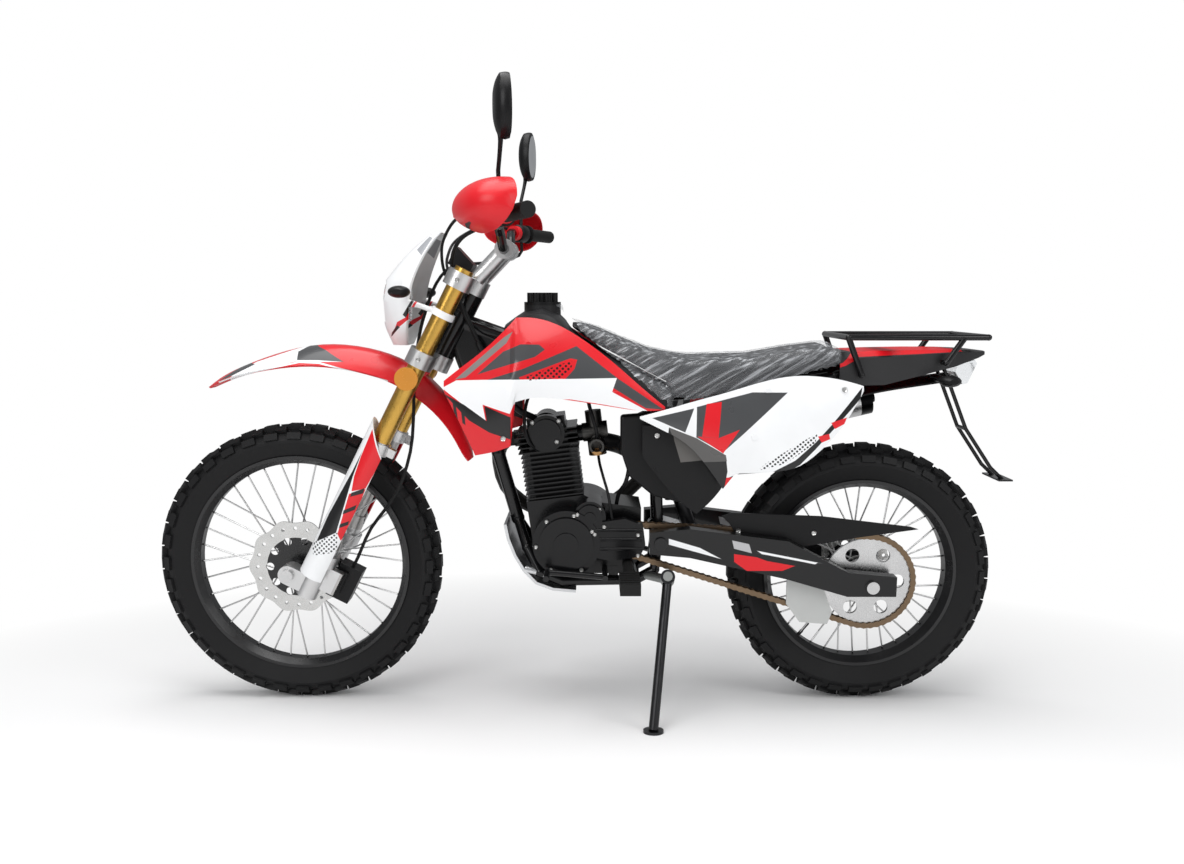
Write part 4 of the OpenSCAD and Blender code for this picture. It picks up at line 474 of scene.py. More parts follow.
def plastic(name, colour, rough=0.4, grain=900.0, depth=0.00002, shapes=(), dotted=(), coat=0.0):
    """Moulded plastic, paint or rubber with a fine grain."""
    material, tree, shader, upright = open_material(name)
    fine = use_group(tree, GRAIN, upright, Scale=grain)
    shade = ranged(tree, fine.outputs["Shade"], 0.0, 1.0)
    base = mix_colour(tree, shade, tuple(0.95 * c for c in colour), colour)
    tree.links.new(printed(tree, upright, base, shapes, dotted), shader.inputs["Base Color"])
    gloss = ranged(tree, fine.outputs["Shade"], rough - 0.03, rough + 0.04)
    tree.links.new(gloss, shader.inputs["Roughness"])
    shader.inputs["Specular IOR Level"].default_value = 0.22 if max(colour) < DARK else 0.4
    shader.inputs["Coat Weight"].default_value = coat
    shader.inputs["Coat Roughness"].default_value = 0.06
    bump(tree, shader, fine.outputs["Height"], depth, 0.5)
    return material


print("plastic, paint and rubber ready")

# %% Metal
def metal(name, colour, rough=0.28, stretch=(40.0, 400.0, 400.0), depth=0.000006, shapes=()):
    """Drawn, brushed or cast metal."""
    material, tree, shader, upright = open_material(name)
    lines = use_group(tree, STREAK, upright, Stretch=stretch)
    shade = ranged(tree, lines.outputs["Shade"], 0.0, 1.0)
    base = mix_colour(tree, shade, tuple(0.9 * c for c in colour), colour)
    tree.links.new(printed(tree, upright, base, shapes, ()), shader.inputs["Base Color"])
    shader.inputs["Metallic"].default_value = 1.0
    gloss = ranged(tree, lines.outputs["Height"], rough - 0.05, rough + 0.06)
    tree.links.new(gloss, shader.inputs["Roughness"])
    bump(tree, shader, lines.outputs["Height"], depth, 0.5)
    return material


def dress(material, *names):
    """Gives CAD nodes a finish."""
    for name in names:
        mesh = nodes[name].data
        mesh.materials.clear()
        mesh.materials.append(material)


PANEL_ROUGH = 0.3
PANEL_COAT = 0.2
RED = (0.66, 0.006, 0.013)
WHITE = (0.83, 0.84, 0.85)
CHARCOAL = (0.055, 0.057, 0.06)
BLACK = (0.005, 0.005, 0.0055)
print("metal ready, and", len(nodes), "nodes to dress")

# %% [markdown]
# ## Body panels and their graphics
# The shrouds, side panels, fender, fork guards and headlamp mask are gloss moulded plastic in red or white,
# with printed shapes in grey, black and white. Two kinds of shape are painted light instead: a grey highlight
# along each shroud's front edge, and a grey sheen on the airbox cover's upper face, which reaches onto the
# side panels' lower front corner. The shapes are given as outlines in upright millimetres, and later shapes
# lie over earlier ones. Each outline has only the corners that its shape needs.

# %% Shrouds
SHROUD_SHAPES = [
    # the first shape, a grey stripe along the front edge, is a painted highlight
    ((0.2, 0.19, 0.18), [(-275, 824), (-169, 916), (-149, 929), (-163, 903), (-252, 828)]),
    (CHARCOAL, [(-227, 834), (-170, 884), (-130, 901), (-88, 900), (-75, 889), (-97, 873)]),
    (CHARCOAL, [(-212, 820), (-126, 846), (-4, 896), (89, 824), (196, 751), (154, 755), (75, 805)]),
    (RED, [(-132, 828), (-18, 869), (-2, 866), (-8, 846), (-30, 822), (-129, 815)]),
    (WHITE, [(-303, 806), (-272, 822), (88, 824), (77, 793), (174, 740), (61, 762), (-18, 775), (-109, 775),
             (-143, 767), (-151, 745), (-214, 768), (-207, 731), (-256, 768)]),
    (BLACK, [(-300, 794), (-254, 768), (-205, 731), (-210, 765), (-152, 738), (-153, 687), (-199, 704),
             (-244, 733)]),
    (BLACK, [(-300, 792), (-292, 786), (-287, 750), (-295, 756)]),
    (BLACK, [(-280, 777), (-273, 772), (-269, 736), (-277, 742)]),
    (BLACK, [(-262, 761), (-254, 755), (-252, 722), (-259, 727)]),
]
SHROUD_LINES = [
    [(-152, 744), (-143, 766), (-109, 774), (-18, 774), (61, 761), (175, 740)],
    [(-18, 936), (60, 870), (130, 808), (196, 754)],
]
SHROUD_LINE_WIDE = 5
for points in SHROUD_LINES:
    SHROUD_SHAPES += [(RED, outline) for outline in thin_line(points, SHROUD_LINE_WIDE)]
SHROUD_DOTS = [(BLACK, [(-118, 829), (-22, 862), (-10, 861), (-16, 847), (-36, 826), (-116, 820)], 0.009)]
shroud_print_and_highlight = plastic("shroud_print_and_highlight", RED, PANEL_ROUGH, shapes=SHROUD_SHAPES, dotted=SHROUD_DOTS,
                       coat=PANEL_COAT)
dress(shroud_print_and_highlight, "shroud_left", "shroud_right")
print("shrouds:", len(SHROUD_SHAPES), "printed shapes")

# %% Side panels
SIDE_SHAPES = [
    (CHARCOAL, [(169, 733), (264, 756), (244, 701), (213, 714)]),
    (CHARCOAL, [(270, 759), (395, 793), (473, 793), (330, 657), (269, 690)]),
    (RED, [(292, 766), (326, 771), (319, 689), (282, 692)]),
    (RED, [(272, 692), (319, 689), (366, 709), (330, 654)]),
    (BLACK, [(640, 806), (636, 780), (536, 665), (503, 630), (453, 598), (340, 596), (368, 608), (441, 612),
             (492, 640), (536, 681), (573, 723)]),
    (RED, [(570, 726), (606, 738), (600, 723), (579, 712)]),
    (RED, [(541, 695), (566, 701), (569, 689), (550, 681)]),
    (RED, [(325, 597), (452, 604), (399, 578), (320, 560)]),
    # the lower front corner, painted black as the airbox cover beside it, and over that the cover's painted
    # sheen
    (BLACK, [(207, 712), (270, 688), (336, 650), (341, 612), (333, 560), (240, 640), (205, 690)]),
    ((0.085, 0.082, 0.08), [(207, 712), (270, 688), (336, 650), (339, 636), (236, 629), (221, 679)]),
]
SIDE_DOTS = [(BLACK, [(540, 703), (536, 681), (469, 632), (407, 615), (429, 635), (502, 681)], 0.008)]
side_print_and_sheen = plastic("side_print_and_sheen", WHITE, PANEL_ROUGH, shapes=SIDE_SHAPES, dotted=SIDE_DOTS, coat=PANEL_COAT)
dress(side_print_and_sheen, "side_panel_left", "side_panel_right")
print("side panels:", len(SIDE_SHAPES), "printed shapes")

# %% Fender, fork guards and headlamp mask
FENDER_SHAPES = [
    (WHITE, [(-836, 820), (-774, 853), (-649, 894), (-562, 855), (-672, 856), (-806, 820)]),
    (CHARCOAL, [(-864, 808), (-829, 832), (-798, 851), (-774, 848), (-836, 817)]),
    (CHARCOAL, [(-670, 878), (-642, 896), (-604, 882), (-557, 855), (-617, 859), (-667, 859)]),
]
FENDER_LINE = [(-864, 804), (-806, 824), (-660, 855), (-613, 853), (-454, 809)]
FENDER_LINE_WIDE = 4
FENDER_SHAPES += [(WHITE, outline) for outline in thin_line(FENDER_LINE, FENDER_LINE_WIDE)]
fender_print = plastic("fender_print", RED, PANEL_ROUGH, shapes=FENDER_SHAPES, coat=PANEL_COAT)
dress(fender_print, "front_fender")
GUARD_SHAPES = [
    (BLACK, [(-528, 657), (-551, 599), (-574, 527), (-595, 464), (-646, 440), (-616, 503), (-553, 610)]),
    (RED, [(-503, 709), (-494, 669), (-485, 634), (-523, 569), (-555, 563), (-548, 599), (-531, 646)]),
    (RED, [(-523, 568), (-533, 545), (-571, 461), (-587, 443), (-592, 461), (-561, 557)]),
    (BLACK, [(-555, 560), (-525, 570), (-529, 557), (-559, 550)]),
    (BLACK, [(-575, 518), (-545, 530), (-550, 518), (-578, 508)]),
    (BLACK, [(-585, 485), (-564, 491), (-568, 481), (-588, 475)]),
]
GUARD_DOTS = [(CHARCOAL, [(-634, 430), (-566, 460), (-571, 412), (-627, 404)], 0.008)]
GUARD_BACK = 26  # the printed shapes, apart from the dots, sit this far back and down on the guard
GUARD_DOWN = 4
GUARD_SHAPES = [(ink, [(x + GUARD_BACK, z - GUARD_DOWN) for x, z in outline])
                for ink, outline in GUARD_SHAPES]
guard_print = plastic("guard_print", WHITE, PANEL_ROUGH, shapes=GUARD_SHAPES, dotted=GUARD_DOTS,
                      coat=PANEL_COAT)
dress(guard_print, "fork_guards")
MASK_SHAPES = [
    ((0.3, 0.31, 0.33), [(-374, 1115), (-347, 1146), (-338, 1142), (-361, 1101)]),
    (BLACK, [(-368, 1048), (-348, 1054), (-354, 1020), (-370, 1022)]),
    (RED, [(-432, 932), (-422, 949), (-400, 960), (-366, 1009), (-365, 1003), (-394, 955), (-422, 935)]),
    (BLACK, [(-406, 966), (-382, 1000), (-377, 997), (-399, 959)]),
    (BLACK, [(-448, 913), (-441, 924), (-423, 942), (-417, 937), (-442, 916)]),
]
mask_print = plastic("mask_print", WHITE, PANEL_ROUGH, shapes=MASK_SHAPES, coat=PANEL_COAT)
dress(mask_print, "headlamp_mask")
print("fender, fork guards and mask printed")

# %% Swingarm, tail, airbox cover and hand guards
SWINGARM_SHAPES = [
    (WHITE, [(212, 444), (285, 422), (336, 395), (212, 430)]),
    (RED, [(366, 407), (420, 399), (444, 390), (510, 378), (481, 366), (397, 366), (367, 388)]),
    ((0.45, 0.45, 0.46), [(361, 440), (401, 431), (408, 409), (366, 420)]),
    (WHITE, [(420, 415), (564, 386), (558, 382), (504, 393), (432, 407)]),
]
swingarm_print = plastic("swingarm_print", BLACK, rough=0.3, shapes=SWINGARM_SHAPES, coat=0.3)
dress(swingarm_print, "swingarm")
TAIL_SHAPES = [
    (RED, [(484, 816), (614, 855), (639, 881), (648, 881), (643, 861), (620, 848), (505, 812)]),
    (RED, [(640, 868), (640, 892), (900, 892), (900, 880)]),
]
tail_print = plastic("tail_print", (0.02, 0.02, 0.021), rough=0.36, shapes=TAIL_SHAPES)
dress(tail_print, "tail_fairing")
# The cover is black plastic; the lighter grey patch on its upper face is a painted sheen.
airbox_painted_sheen = plastic("airbox_painted_sheen", BLACK, rough=0.34, shapes=[
    ((0.11, 0.105, 0.1), [(215, 712), (273, 690), (337, 657), (345, 640), (236, 629), (221, 679)])])
dress(airbox_painted_sheen, "airbox_cover")
guard_red = plastic("guard_red", RED, rough=0.36, shapes=[
    (BLACK, [(-226, 1145), (-221, 1151), (-208, 1153), (-205, 1150), (-216, 1143)])])
dress(guard_red, "hand_guards")
print("swingarm, tail, airbox cover and hand guards printed")

# %% [markdown]
# ## Black, rubber and bright pieces
# What is left is black plastic, black paint on steel, black engine castings, rubber, and bright or gold
# metal. These finishes differ mostly in gloss and grain, which is what tells a rubber grip from a painted
# tube, so each family is a table with one row per finish.

# %% Black pieces
TANK_BLACK = (0.016, 0.016, 0.017)
ENGINE_BLACK = (0.004, 0.004, 0.0045)
EXHAUST_BLACK = (0.012, 0.011, 0.01)
RUBBER_BLACK = (0.009, 0.009, 0.009)
TYRE_BLACK = (0.007, 0.007, 0.0075)
GUIDE_GREY = (0.5, 0.51, 0.5)
VINYL_BLACK = (0.01, 0.01, 0.011)
# finish, colour, roughness, grain per metre, grain depth in metres, coat, nodes
PLASTICS = [
    ("tank_plastic", TANK_BLACK, 0.42, 700.0, 0.00005, 0.0, ["fuel_tank"]),
    ("dark_plastic", BLACK, 0.36, 900.0, 0.00002, 0.0, [
        "fuel_cap", "rear_fender", "chain_guard", "mirrors", "instrument", "front_indicators",
        "rear_indicators", "hand_levers"]),
    ("frame_paint", BLACK, 0.2, 300.0, 0.00002, 0.3, [
        "frame", "luggage_rack", "plate_bracket", "handlebar", "brake_pedal", "gear_lever"]),
    ("engine_paint", ENGINE_BLACK, 0.22, 420.0, 0.00003, 0.1, ["engine_crankcase", "engine_cylinder"]),
    ("exhaust_black", EXHAUST_BLACK, 0.46, 500.0, 0.00002, 0.0, ["exhaust_pipe"]),
    ("caliper_black", BLACK, 0.36, 500.0, 0.00002, 0.0, ["front_brake_caliper", "rear_brake_caliper"]),
    ("rubber", RUBBER_BLACK, 0.6, 1300.0, 0.0001, 0.0, ["grips", "foot_pegs", "front_brake_hose"]),
    ("tyre_rubber", TYRE_BLACK, 0.55, 600.0, 0.0001, 0.0, ["front_tyre", "rear_tyre"]),
    ("guide_plastic", GUIDE_GREY, 0.45, 500.0, 0.00002, 0.0, ["chain_guide"]),
    ("seat_vinyl", VINYL_BLACK, 0.42, 1100.0, 0.00012, 0.0, ["seat"]),
]
for name, colour, rough, grain, depth, coat, wearers in PLASTICS:
    dress(plastic(name, colour, rough, grain, depth, coat=coat), *wearers)
seat_vinyl = nodes["seat"].data.materials[0]
print("black, rubber and grey finishes:", len(PLASTICS))

# %% Bright pieces
SILVER = (0.6, 0.6, 0.6)
UP_THE_FORK = (300.0, 300.0, 40.0)
EVEN = (200.0, 200.0, 200.0)
LENGTHWISE = (40.0, 400.0, 400.0)
FINE = 0.000006
CAST = 0.00002
COLLAR = [(SILVER, along(in_fork(FORK_BEHIND, 355), FORK_WAY, near=0, far=37, half=45))]
LEG_FOOT = [(SILVER, along(in_fork(40, -40), FORK_WAY, near=0, far=146, half=70))]
MUFFLER_CAP = [(BLACK, along((752, 748), way=(360, 84), near=-30, far=20, half=90))]
CHOKE_AT = (43, 621)
CHOKE_R = 21
CHOKE_CORNERS = 12
choke_ring = [(CHOKE_AT[0] + CHOKE_R * math.cos(k * math.tau / CHOKE_CORNERS),
               CHOKE_AT[1] + CHOKE_R * math.sin(k * math.tau / CHOKE_CORNERS)) for k in range(CHOKE_CORNERS)]
CHOKE = [((0.42, 0.24, 0.1), choke_ring)]
# finish, colour, roughness, stretch of the streaks per metre, depth in metres, printed shapes, nodes
METALS = [
    ("gold_anodised", (0.6, 0.36, 0.08), 0.3, UP_THE_FORK, FINE, COLLAR, ["fork_tubes"]),
    ("leg_chrome", (0.46, 0.45, 0.44), 0.36, UP_THE_FORK, FINE, LEG_FOOT, ["fork_legs"]),
    ("clamp_alloy", SILVER, 0.36, (180.0, 180.0, 180.0), CAST, (), ["upper_clamp", "lower_clamp"]),
    ("skid_alloy", (0.62, 0.63, 0.64), 0.3, (30.0, 400.0, 200.0), FINE, (), ["skid_plate"]),
    ("muffler_steel", SILVER, 0.3, LENGTHWISE, FINE, MUFFLER_CAP, ["muffler"]),
    ("carburettor_alloy", (0.07, 0.068, 0.065), 0.38, EVEN, CAST, CHOKE, ["carburettor"]),
    ("axle_steel", SILVER, 0.3, LENGTHWISE, FINE, (), ["front_axle", "rear_axle"]),
    ("sprocket_steel", SILVER, 0.28, (200.0, 400.0, 200.0), FINE, (), ["rear_sprocket"]),
    ("chain_bronze", (0.2, 0.14, 0.09), 0.4, (300.0, 300.0, 300.0), FINE, (), ["drive_chain"]),
    ("stand_steel", (0.045, 0.045, 0.047), 0.34, (200.0, 200.0, 60.0), FINE, (), ["side_stand"]),
    ("bracket_alloy", (0.3, 0.31, 0.3), 0.5, EVEN, 0.00004, (), ["stand_bracket"]),
    ("spring_steel", (0.035, 0.035, 0.037), 0.36, LENGTHWISE, FINE, (), ["rear_shock"]),
]
for name, colour, rough, stretch, depth, shapes, wearers in METALS:
    dress(metal(name, colour, rough, stretch, depth, shapes), *wearers)
print("bright finishes:", len(METALS))

# %% [markdown]
# ## Discs, wheels and lenses
# A brake disc is bright steel on a black carrier, and a wheel is a black rim and hub with bright spokes. Each
# is one solid, so its finish changes by the distance from the axle, as a turned part is painted up to a line.
# A lens is clear or coloured plastic that lets light through, with fine flutes as a bump.

# %% Brake discs
def disc_finish(name, centre, carrier_r):
    """A bright wave disc on a black carrier."""
    material, tree, shader, upright = open_material(name)
    lines = use_group(tree, STREAK, upright, Stretch=(200.0, 400.0, 200.0))
    carrier = within(tree, upright, centre, carrier_r)
    steel = mix_colour(tree, lines.outputs["Shade"], (0.5, 0.5, 0.49), (0.64, 0.64, 0.63))
    tree.links.new(mix_colour(tree, carrier, steel, BLACK), shader.inputs["Base Color"])
    tree.links.new(math_node(tree, "SUBTRACT", 1.0, carrier), shader.inputs["Metallic"])
    tree.links.new(ranged(tree, lines.outputs["Height"], 0.22, 0.34), shader.inputs["Roughness"])
    return material


dress(disc_finish("front_disc_steel", FRONT_AXLE, carrier_r=74), "front_disc")
dress(disc_finish("rear_disc_steel", REAR_AXLE, carrier_r=66), "rear_disc")
print("discs done")

# %% Wheels
FRONT_RIM_IN = 250  # inner radius of the rim
REAR_RIM_IN = 214


def wheel_finish(name, centre, rim_in, hub_r):
    """Black rim and hub with bright spokes between them."""
    material, tree, shader, upright = open_material(name)
    fine = use_group(tree, GRAIN, upright, Scale=500.0)
    hub = within(tree, upright, centre, hub_r)
    not_rim = within(tree, upright, centre, rim_in)
    spoke = math_node(tree, "SUBTRACT", not_rim, hub, clamp=True)
    black = mix_colour(tree, fine.outputs["Shade"], BLACK, (0.009, 0.009, 0.01))
    tree.links.new(mix_colour(tree, spoke, black, (0.62, 0.62, 0.62)), shader.inputs["Base Color"])
    tree.links.new(spoke, shader.inputs["Metallic"])
    tree.links.new(ranged(tree, fine.outputs["Shade"], 0.24, 0.36), shader.inputs["Roughness"])
    bump(tree, shader, fine.outputs["Height"], 0.00002, 0.5)
    return material


dress(wheel_finish("front_rim_black", FRONT_AXLE, FRONT_RIM_IN, hub_r=40), "front_wheel")
dress(wheel_finish("rear_rim_black", REAR_AXLE, REAR_RIM_IN, hub_r=44), "rear_wheel")
print("wheels done")

# %% Lenses and reflectors
def lens(name, colour, rough=0.05, through=1.0):
    """Clear or coloured moulded lens with fine flutes."""
    material, tree, shader, upright = open_material(name)
    lines = use_group(tree, STREAK, upright, Stretch=(120.0, 120.0, 700.0))
    tree.links.new(mix_colour(tree, lines.outputs["Shade"], tuple(0.9 * c for c in colour), colour),
                   shader.inputs["Base Color"])
    shader.inputs["Transmission Weight"].default_value = through
    shader.inputs["IOR"].default_value = 1.45
    tree.links.new(ranged(tree, lines.outputs["Height"], rough, rough + 0.08), shader.inputs["Roughness"])
    bump(tree, shader, lines.outputs["Height"], 0.0002)
    return material


dress(lens("clear_lens", (0.86, 0.88, 0.9)), "headlamp", "tail_lamp")
dress(lens("amber_reflector", (0.72, 0.3, 0.03), rough=0.2, through=0.25), "reflectors")
print("lenses done")

# %% [markdown]
# ## Smooth shells
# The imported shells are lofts, so they come as flat facets. A real moulded shell is smooth with crisp rims. A
# copy of each is merged and its triangles joined to quads, the rims get a crease, and a Subdivision modifier
# rounds what is between them. The copy then stands for the node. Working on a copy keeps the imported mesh
# as it was.

# %% Helpers for new pieces
DOUBLE = 1e-6  # metres; points nearer than this are one


def keep(name, bm, material, body, slot, *replaced):
    """A new piece from a bmesh, with doubles merged and normals out, that rides on a body if one is given."""
    bmesh.ops.remove_doubles(bm, verts=bm.verts, dist=DOUBLE)
    bmesh.ops.recalc_face_normals(bm, faces=bm.faces)
    mesh = bpy.data.meshes.new(name)
    bm.to_mesh(mesh)
    bm.free()
    mesh.materials.append(material)
    piece = bpy.data.objects.new(name, mesh)
    scene.collection.objects.link(piece)
    if body:
        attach(piece, body)
    if replaced:
        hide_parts(*replaced)
    return piece


def round_off(piece, levels):
    """A Subdivision modifier that shows the same in the view and in the render."""
    modifier = piece.modifiers.new("round", "SUBSURF")
    modifier.levels = levels
    modifier.render_levels = levels


print("piece helpers ready")

# %% Smoothed copies of the shells
WELD = 1e-5  # metres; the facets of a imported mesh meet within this
FLAT_JOIN = math.radians(25)
SQUARE_JOIN = math.radians(60)


def smoothed(name, levels=2, sharp=40.0):
    """A merged copy of a faceted node, rounded between the edges that turn by more than sharp degrees."""
    bm = bmesh.new()
    bm.from_mesh(nodes[name].data)
    bmesh.ops.remove_doubles(bm, verts=bm.verts, dist=WELD)
    bmesh.ops.join_triangles(bm, faces=bm.faces, angle_face_threshold=FLAT_JOIN,
                             angle_shape_threshold=SQUARE_JOIN)
    crease = bm.edges.layers.float.new("crease_edge")
    for edge in bm.edges:
        rim = len(edge.link_faces) != 2 or edge.calc_face_angle() > math.radians(sharp)
        edge[crease] = 1.0 if rim else 0.0
        edge.smooth = not rim
    for face in bm.faces:
        face.smooth = True
    finish = nodes[name].data.materials[0]
    piece = keep(name + "_shell", bm, finish, nodes[name]["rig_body"], slot_of[name], name)
    round_off(piece, levels)


SHELLS = ("hand_guards", "front_fender", "shroud_left", "shroud_right", "side_panel_left", "side_panel_right",
          "headlamp_mask", "fuel_tank", "mirrors", "airbox_cover", "rear_fender", "front_indicators",
          "rear_indicators")
for name in SHELLS:
    smoothed(name)
print("smooth shells:", len(SHELLS))

# %% [markdown]
# ## Seat and its film
# The seat is foam under vinyl. A copy of its solid is remeshed to even small faces, drawn in a little, and
# puffed up again with Cloth under a small pressure, so its edges round over as stuffed vinyl does. Its
# underside is held where it rests on the frame. A new motorcycle is delivered with its seat in clear film,
# which is the upper skin of the seat and the tank behind the shrouds, moved outwards and pleated. The pleats
# run down and back, the way the film was pulled. The film's whitish streaks are painted sheen: along streaks
# that run the same way, its colour is painted whiter and it is made less clear.

# %% Padded seat
GRID = 0.006  # metres, as the next sizes
SEAT_IN = 0.003
PUFF_CAP = 0.006
HELD_BELOW = -0.3  # faces that look down more than this are held by the frame
PRESSURE = 4.0
PUFF_FRAMES = 20
SMOOTHING = 3  # rounds


def even_copy(name, sources, grid):
    """One skin of even small faces round copies of some nodes."""
    bm = bmesh.new()
    for source in sources:
        bm.from_mesh(nodes[source].data)
    bmesh.ops.remove_doubles(bm, verts=bm.verts, dist=WELD)
    mesh = bpy.data.meshes.new(name)
    bm.to_mesh(mesh)
    bm.free()
    piece = bpy.data.objects.new(name, mesh)
    scene.collection.objects.link(piece)
    even = piece.modifiers.new("even", "REMESH")
    even.mode = "VOXEL"
    even.voxel_size = grid
    view = bpy.context.evaluated_depsgraph_get()
    piece.data = bpy.data.meshes.new_from_object(piece.evaluated_get(view))
    piece.modifiers.clear()
    return piece


def even_out(bm):
    """Smooths a skin of small faces."""
    for _ in range(SMOOTHING):
        bmesh.ops.smooth_vert(bm, verts=bm.verts, factor=0.5, use_axis_x=True, use_axis_y=True,
                              use_axis_z=True)


def draw_in(mesh, depth):
    """Moves a closed skin inwards and evens it."""
    bm = bmesh.new()
    bm.from_mesh(mesh)
    bm.normal_update()
    for vert in bm.verts:
        vert.co -= vert.normal * depth
    even_out(bm)
    for face in bm.faces:
        face.smooth = True
    bm.to_mesh(mesh)
    bm.free()


def puff(piece, held, pressure, cap):
    """Cloth under pressure for a few frames, with each point's way capped, applied to the mesh."""
    group = piece.vertex_groups.new(name="held")
    group.add(held, 1.0, "REPLACE")
    cloth = piece.modifiers.new("puff", "CLOTH")
    cloth.settings.use_pressure = True
    cloth.settings.uniform_pressure_force = pressure
    cloth.settings.effector_weights.gravity = 0.0
    cloth.settings.vertex_group_mass = "held"
    for step in range(1, PUFF_FRAMES + 1):
        scene.frame_set(step)
    view = bpy.context.evaluated_depsgraph_get()
    risen = [v.co.copy() for v in piece.evaluated_get(view).data.vertices]
    piece.modifiers.clear()
    piece.vertex_groups.clear()
    scene.frame_set(1)
    for vert, there in zip(piece.data.vertices, risen):
        way = there - vert.co
        vert.co += way * min(1.0, cap / max(way.length, 1e-9))


seat = even_copy("seat_pad", ["seat"], GRID)
draw_in(seat.data, SEAT_IN)
up = PARK.to_3x3() @ Vector((0, 0, 1))
held = [v.index for v in seat.data.vertices if v.normal.dot(up) < HELD_BELOW]
puff(seat, held, PRESSURE, PUFF_CAP)
seat.data.materials.clear()
seat.data.materials.append(seat_vinyl)
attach(seat, "chassis")
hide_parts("seat")
round_off(seat, 1)
print("seat:", len(seat.data.vertices), "points")

# %% Skin that the film covers
FILM_FRONT = [(-30, 960), (206, 758)]  # the line where the film is tucked in
FILM_LOW = 770  # ahead of that line's lower end, the film reaches down to here
FILM_UNDER = -0.7  # faces that look down more than this are left bare
skin = even_copy("film_skin", ["seat", "fuel_tank"], GRID)
film_bm = bmesh.new()
film_bm.from_mesh(skin.data)
bpy.data.objects.remove(skin)
even_out(film_bm)
film_bm.normal_update()


def bare(face):
    """Whether a face is left out of the film: it looks down, or lies ahead of the tuck."""
    (x0, z0), (x1, z1) = FILM_FRONT
    at = (UNPARK @ face.calc_center_median()) * 1000
    ahead = (at.x - x0) * (z1 - z0) - (at.z - z0) * (x1 - x0) > 0
    return ahead or face.normal.dot(up) < FILM_UNDER or (at.x < x1 and at.z < FILM_LOW)


bmesh.ops.delete(film_bm, geom=[f for f in film_bm.faces if bare(f)], context="FACES")
film_bm.normal_update()
print("film covers", len(film_bm.faces), "faces")

# %% Pleats of the film
FILM_OUT = 0.0035
PLEAT = 0.0045
PLEAT_TURN = math.radians(30)
PLEAT_SHARP = 2.2
# folds per metre along, across and up the film, and their share of the height
FOLDS = [((4, 44, 56), 0.7), ((16, 90, 110), 0.3)]
turn = Matrix.Rotation(PLEAT_TURN, 4, "Y")
for vert in film_bm.verts:
    at = turn @ (UNPARK @ vert.co)
    rise = 0.0
    for (nx, ny, nz), share in FOLDS:
        fold = noise.noise(Vector((at.x * nx, at.y * ny, at.z * nz)))
        rise += max(0.0, 1 - abs(fold) * PLEAT_SHARP) * PLEAT * share
    vert.co += vert.normal * (FILM_OUT + rise)
film_area = sum(f.calc_area() for f in film_bm.faces)
for face in film_bm.faces:
    face.smooth = True
print("film:", round(film_area, 3), "square metres")

# %% Clear film
material, tree, shader, upright = open_material("clear_film")
turned_place = node(tree, "Mapping")
turned_place.inputs["Rotation"].default_value = (0.0, PLEAT_TURN, 0.0)
tree.links.new(upright, turned_place.inputs["Vector"])
pleats = use_group(tree, STREAK, turned_place.outputs[0], Stretch=(6.0, 130.0, 150.0))
# Painted sheen: where the streaks rise, the film is painted whiter and made less clear.
film_tint_painted_sheen = mix_colour(tree, pleats.outputs["Height"], (0.3, 0.31, 0.33), (0.8, 0.82, 0.85))
tree.links.new(film_tint_painted_sheen, shader.inputs["Base Color"])
film_alpha_painted_sheen = ranged(tree, pleats.outputs["Height"], low=0.14, high=0.6, span=(0.48, 0.74))
tree.links.new(film_alpha_painted_sheen, shader.inputs["Alpha"])
shader.inputs["Roughness"].default_value = 0.16
bump(tree, shader, pleats.outputs["Height"], depth=0.001, strength=0.6)
film = keep("seat_film", film_bm, material, "chassis", "seat_cover")
round_off(film, 1)

# %% [markdown]
# ## Turned pieces
# Rings, switch boxes, lamp bowls and valve stems are turned shapes: a short profile spun about an axis. They
# could be stacked from cylinders, but a spin takes the profile that a lathe would cut, in one step.

# %% Turned pieces
def turned(bm, profile, at, axis, steps=28):
    """Spins a profile of (radius, along) in mm about an axis through an upright place."""
    verts = [bm.verts.new((r / 1000, 0.0, s / 1000)) for r, s in profile]
    edges = [bm.edges.new(pair) for pair in zip(verts, verts[1:])]
    before = set(bm.verts) - set(verts)
    bmesh.ops.spin(bm, geom=verts + edges, cent=(0, 0, 0), axis=(0, 0, 1), angle=math.tau, steps=steps,
                   use_merge=True)
    made = [v for v in bm.verts if v not in before]
    way = PARK.to_3x3() @ Vector(axis).normalized()
    stand = Matrix.Translation(place(*at)) @ way.to_track_quat("Z", "Y").to_matrix().to_4x4()
    bmesh.ops.transform(bm, matrix=stand, verts=made)


def turned_piece(name, body, slot, material, profile, spots):
    """One piece of the same profile at several (place, axis)."""
    bm = bmesh.new()
    for at, axis in spots:
        turned(bm, profile, at, axis)
    for face in bm.faces:
        face.smooth = True
    return keep(name, bm, material, body, slot)


print("lathe ready")

# %% Rings and switches on the handlebar
BAR_END = (-94, -405, 1174)
BAR_WAY = (0.4427, -0.8967, 0.0)  # out along the left bar
RING_IN = 116  # how far in from the bar's end, in mm
SWITCH_IN = 152


def on_bars(inwards):
    """The place and the axis at a distance in from the end of each bar, left and then right."""
    x, y = (BAR_END[k] - inwards * BAR_WAY[k] for k in (0, 1))
    return [((x, s * y, BAR_END[2]), (BAR_WAY[0], s * BAR_WAY[1], 0.0)) for s in (1, -1)]


turned_piece("grip_rings", "steering", "red_plastic", plastic("ring_red", RED, 0.4),
             [(15, -4), (18.6, -4), (19.4, -2), (19.4, 2), (18.6, 4), (15, 4)], on_bars(RING_IN))
turned_piece("switch_boxes", "steering", "dark_plastic", plastic("switch_black", BLACK, 0.4),
             [(11, -20), (20, -20), (23, -16), (23, 14), (20, 18), (11, 18)], on_bars(SWITCH_IN))
print("rings and switch boxes at", RING_IN, "and", SWITCH_IN, "mm from the bar ends")

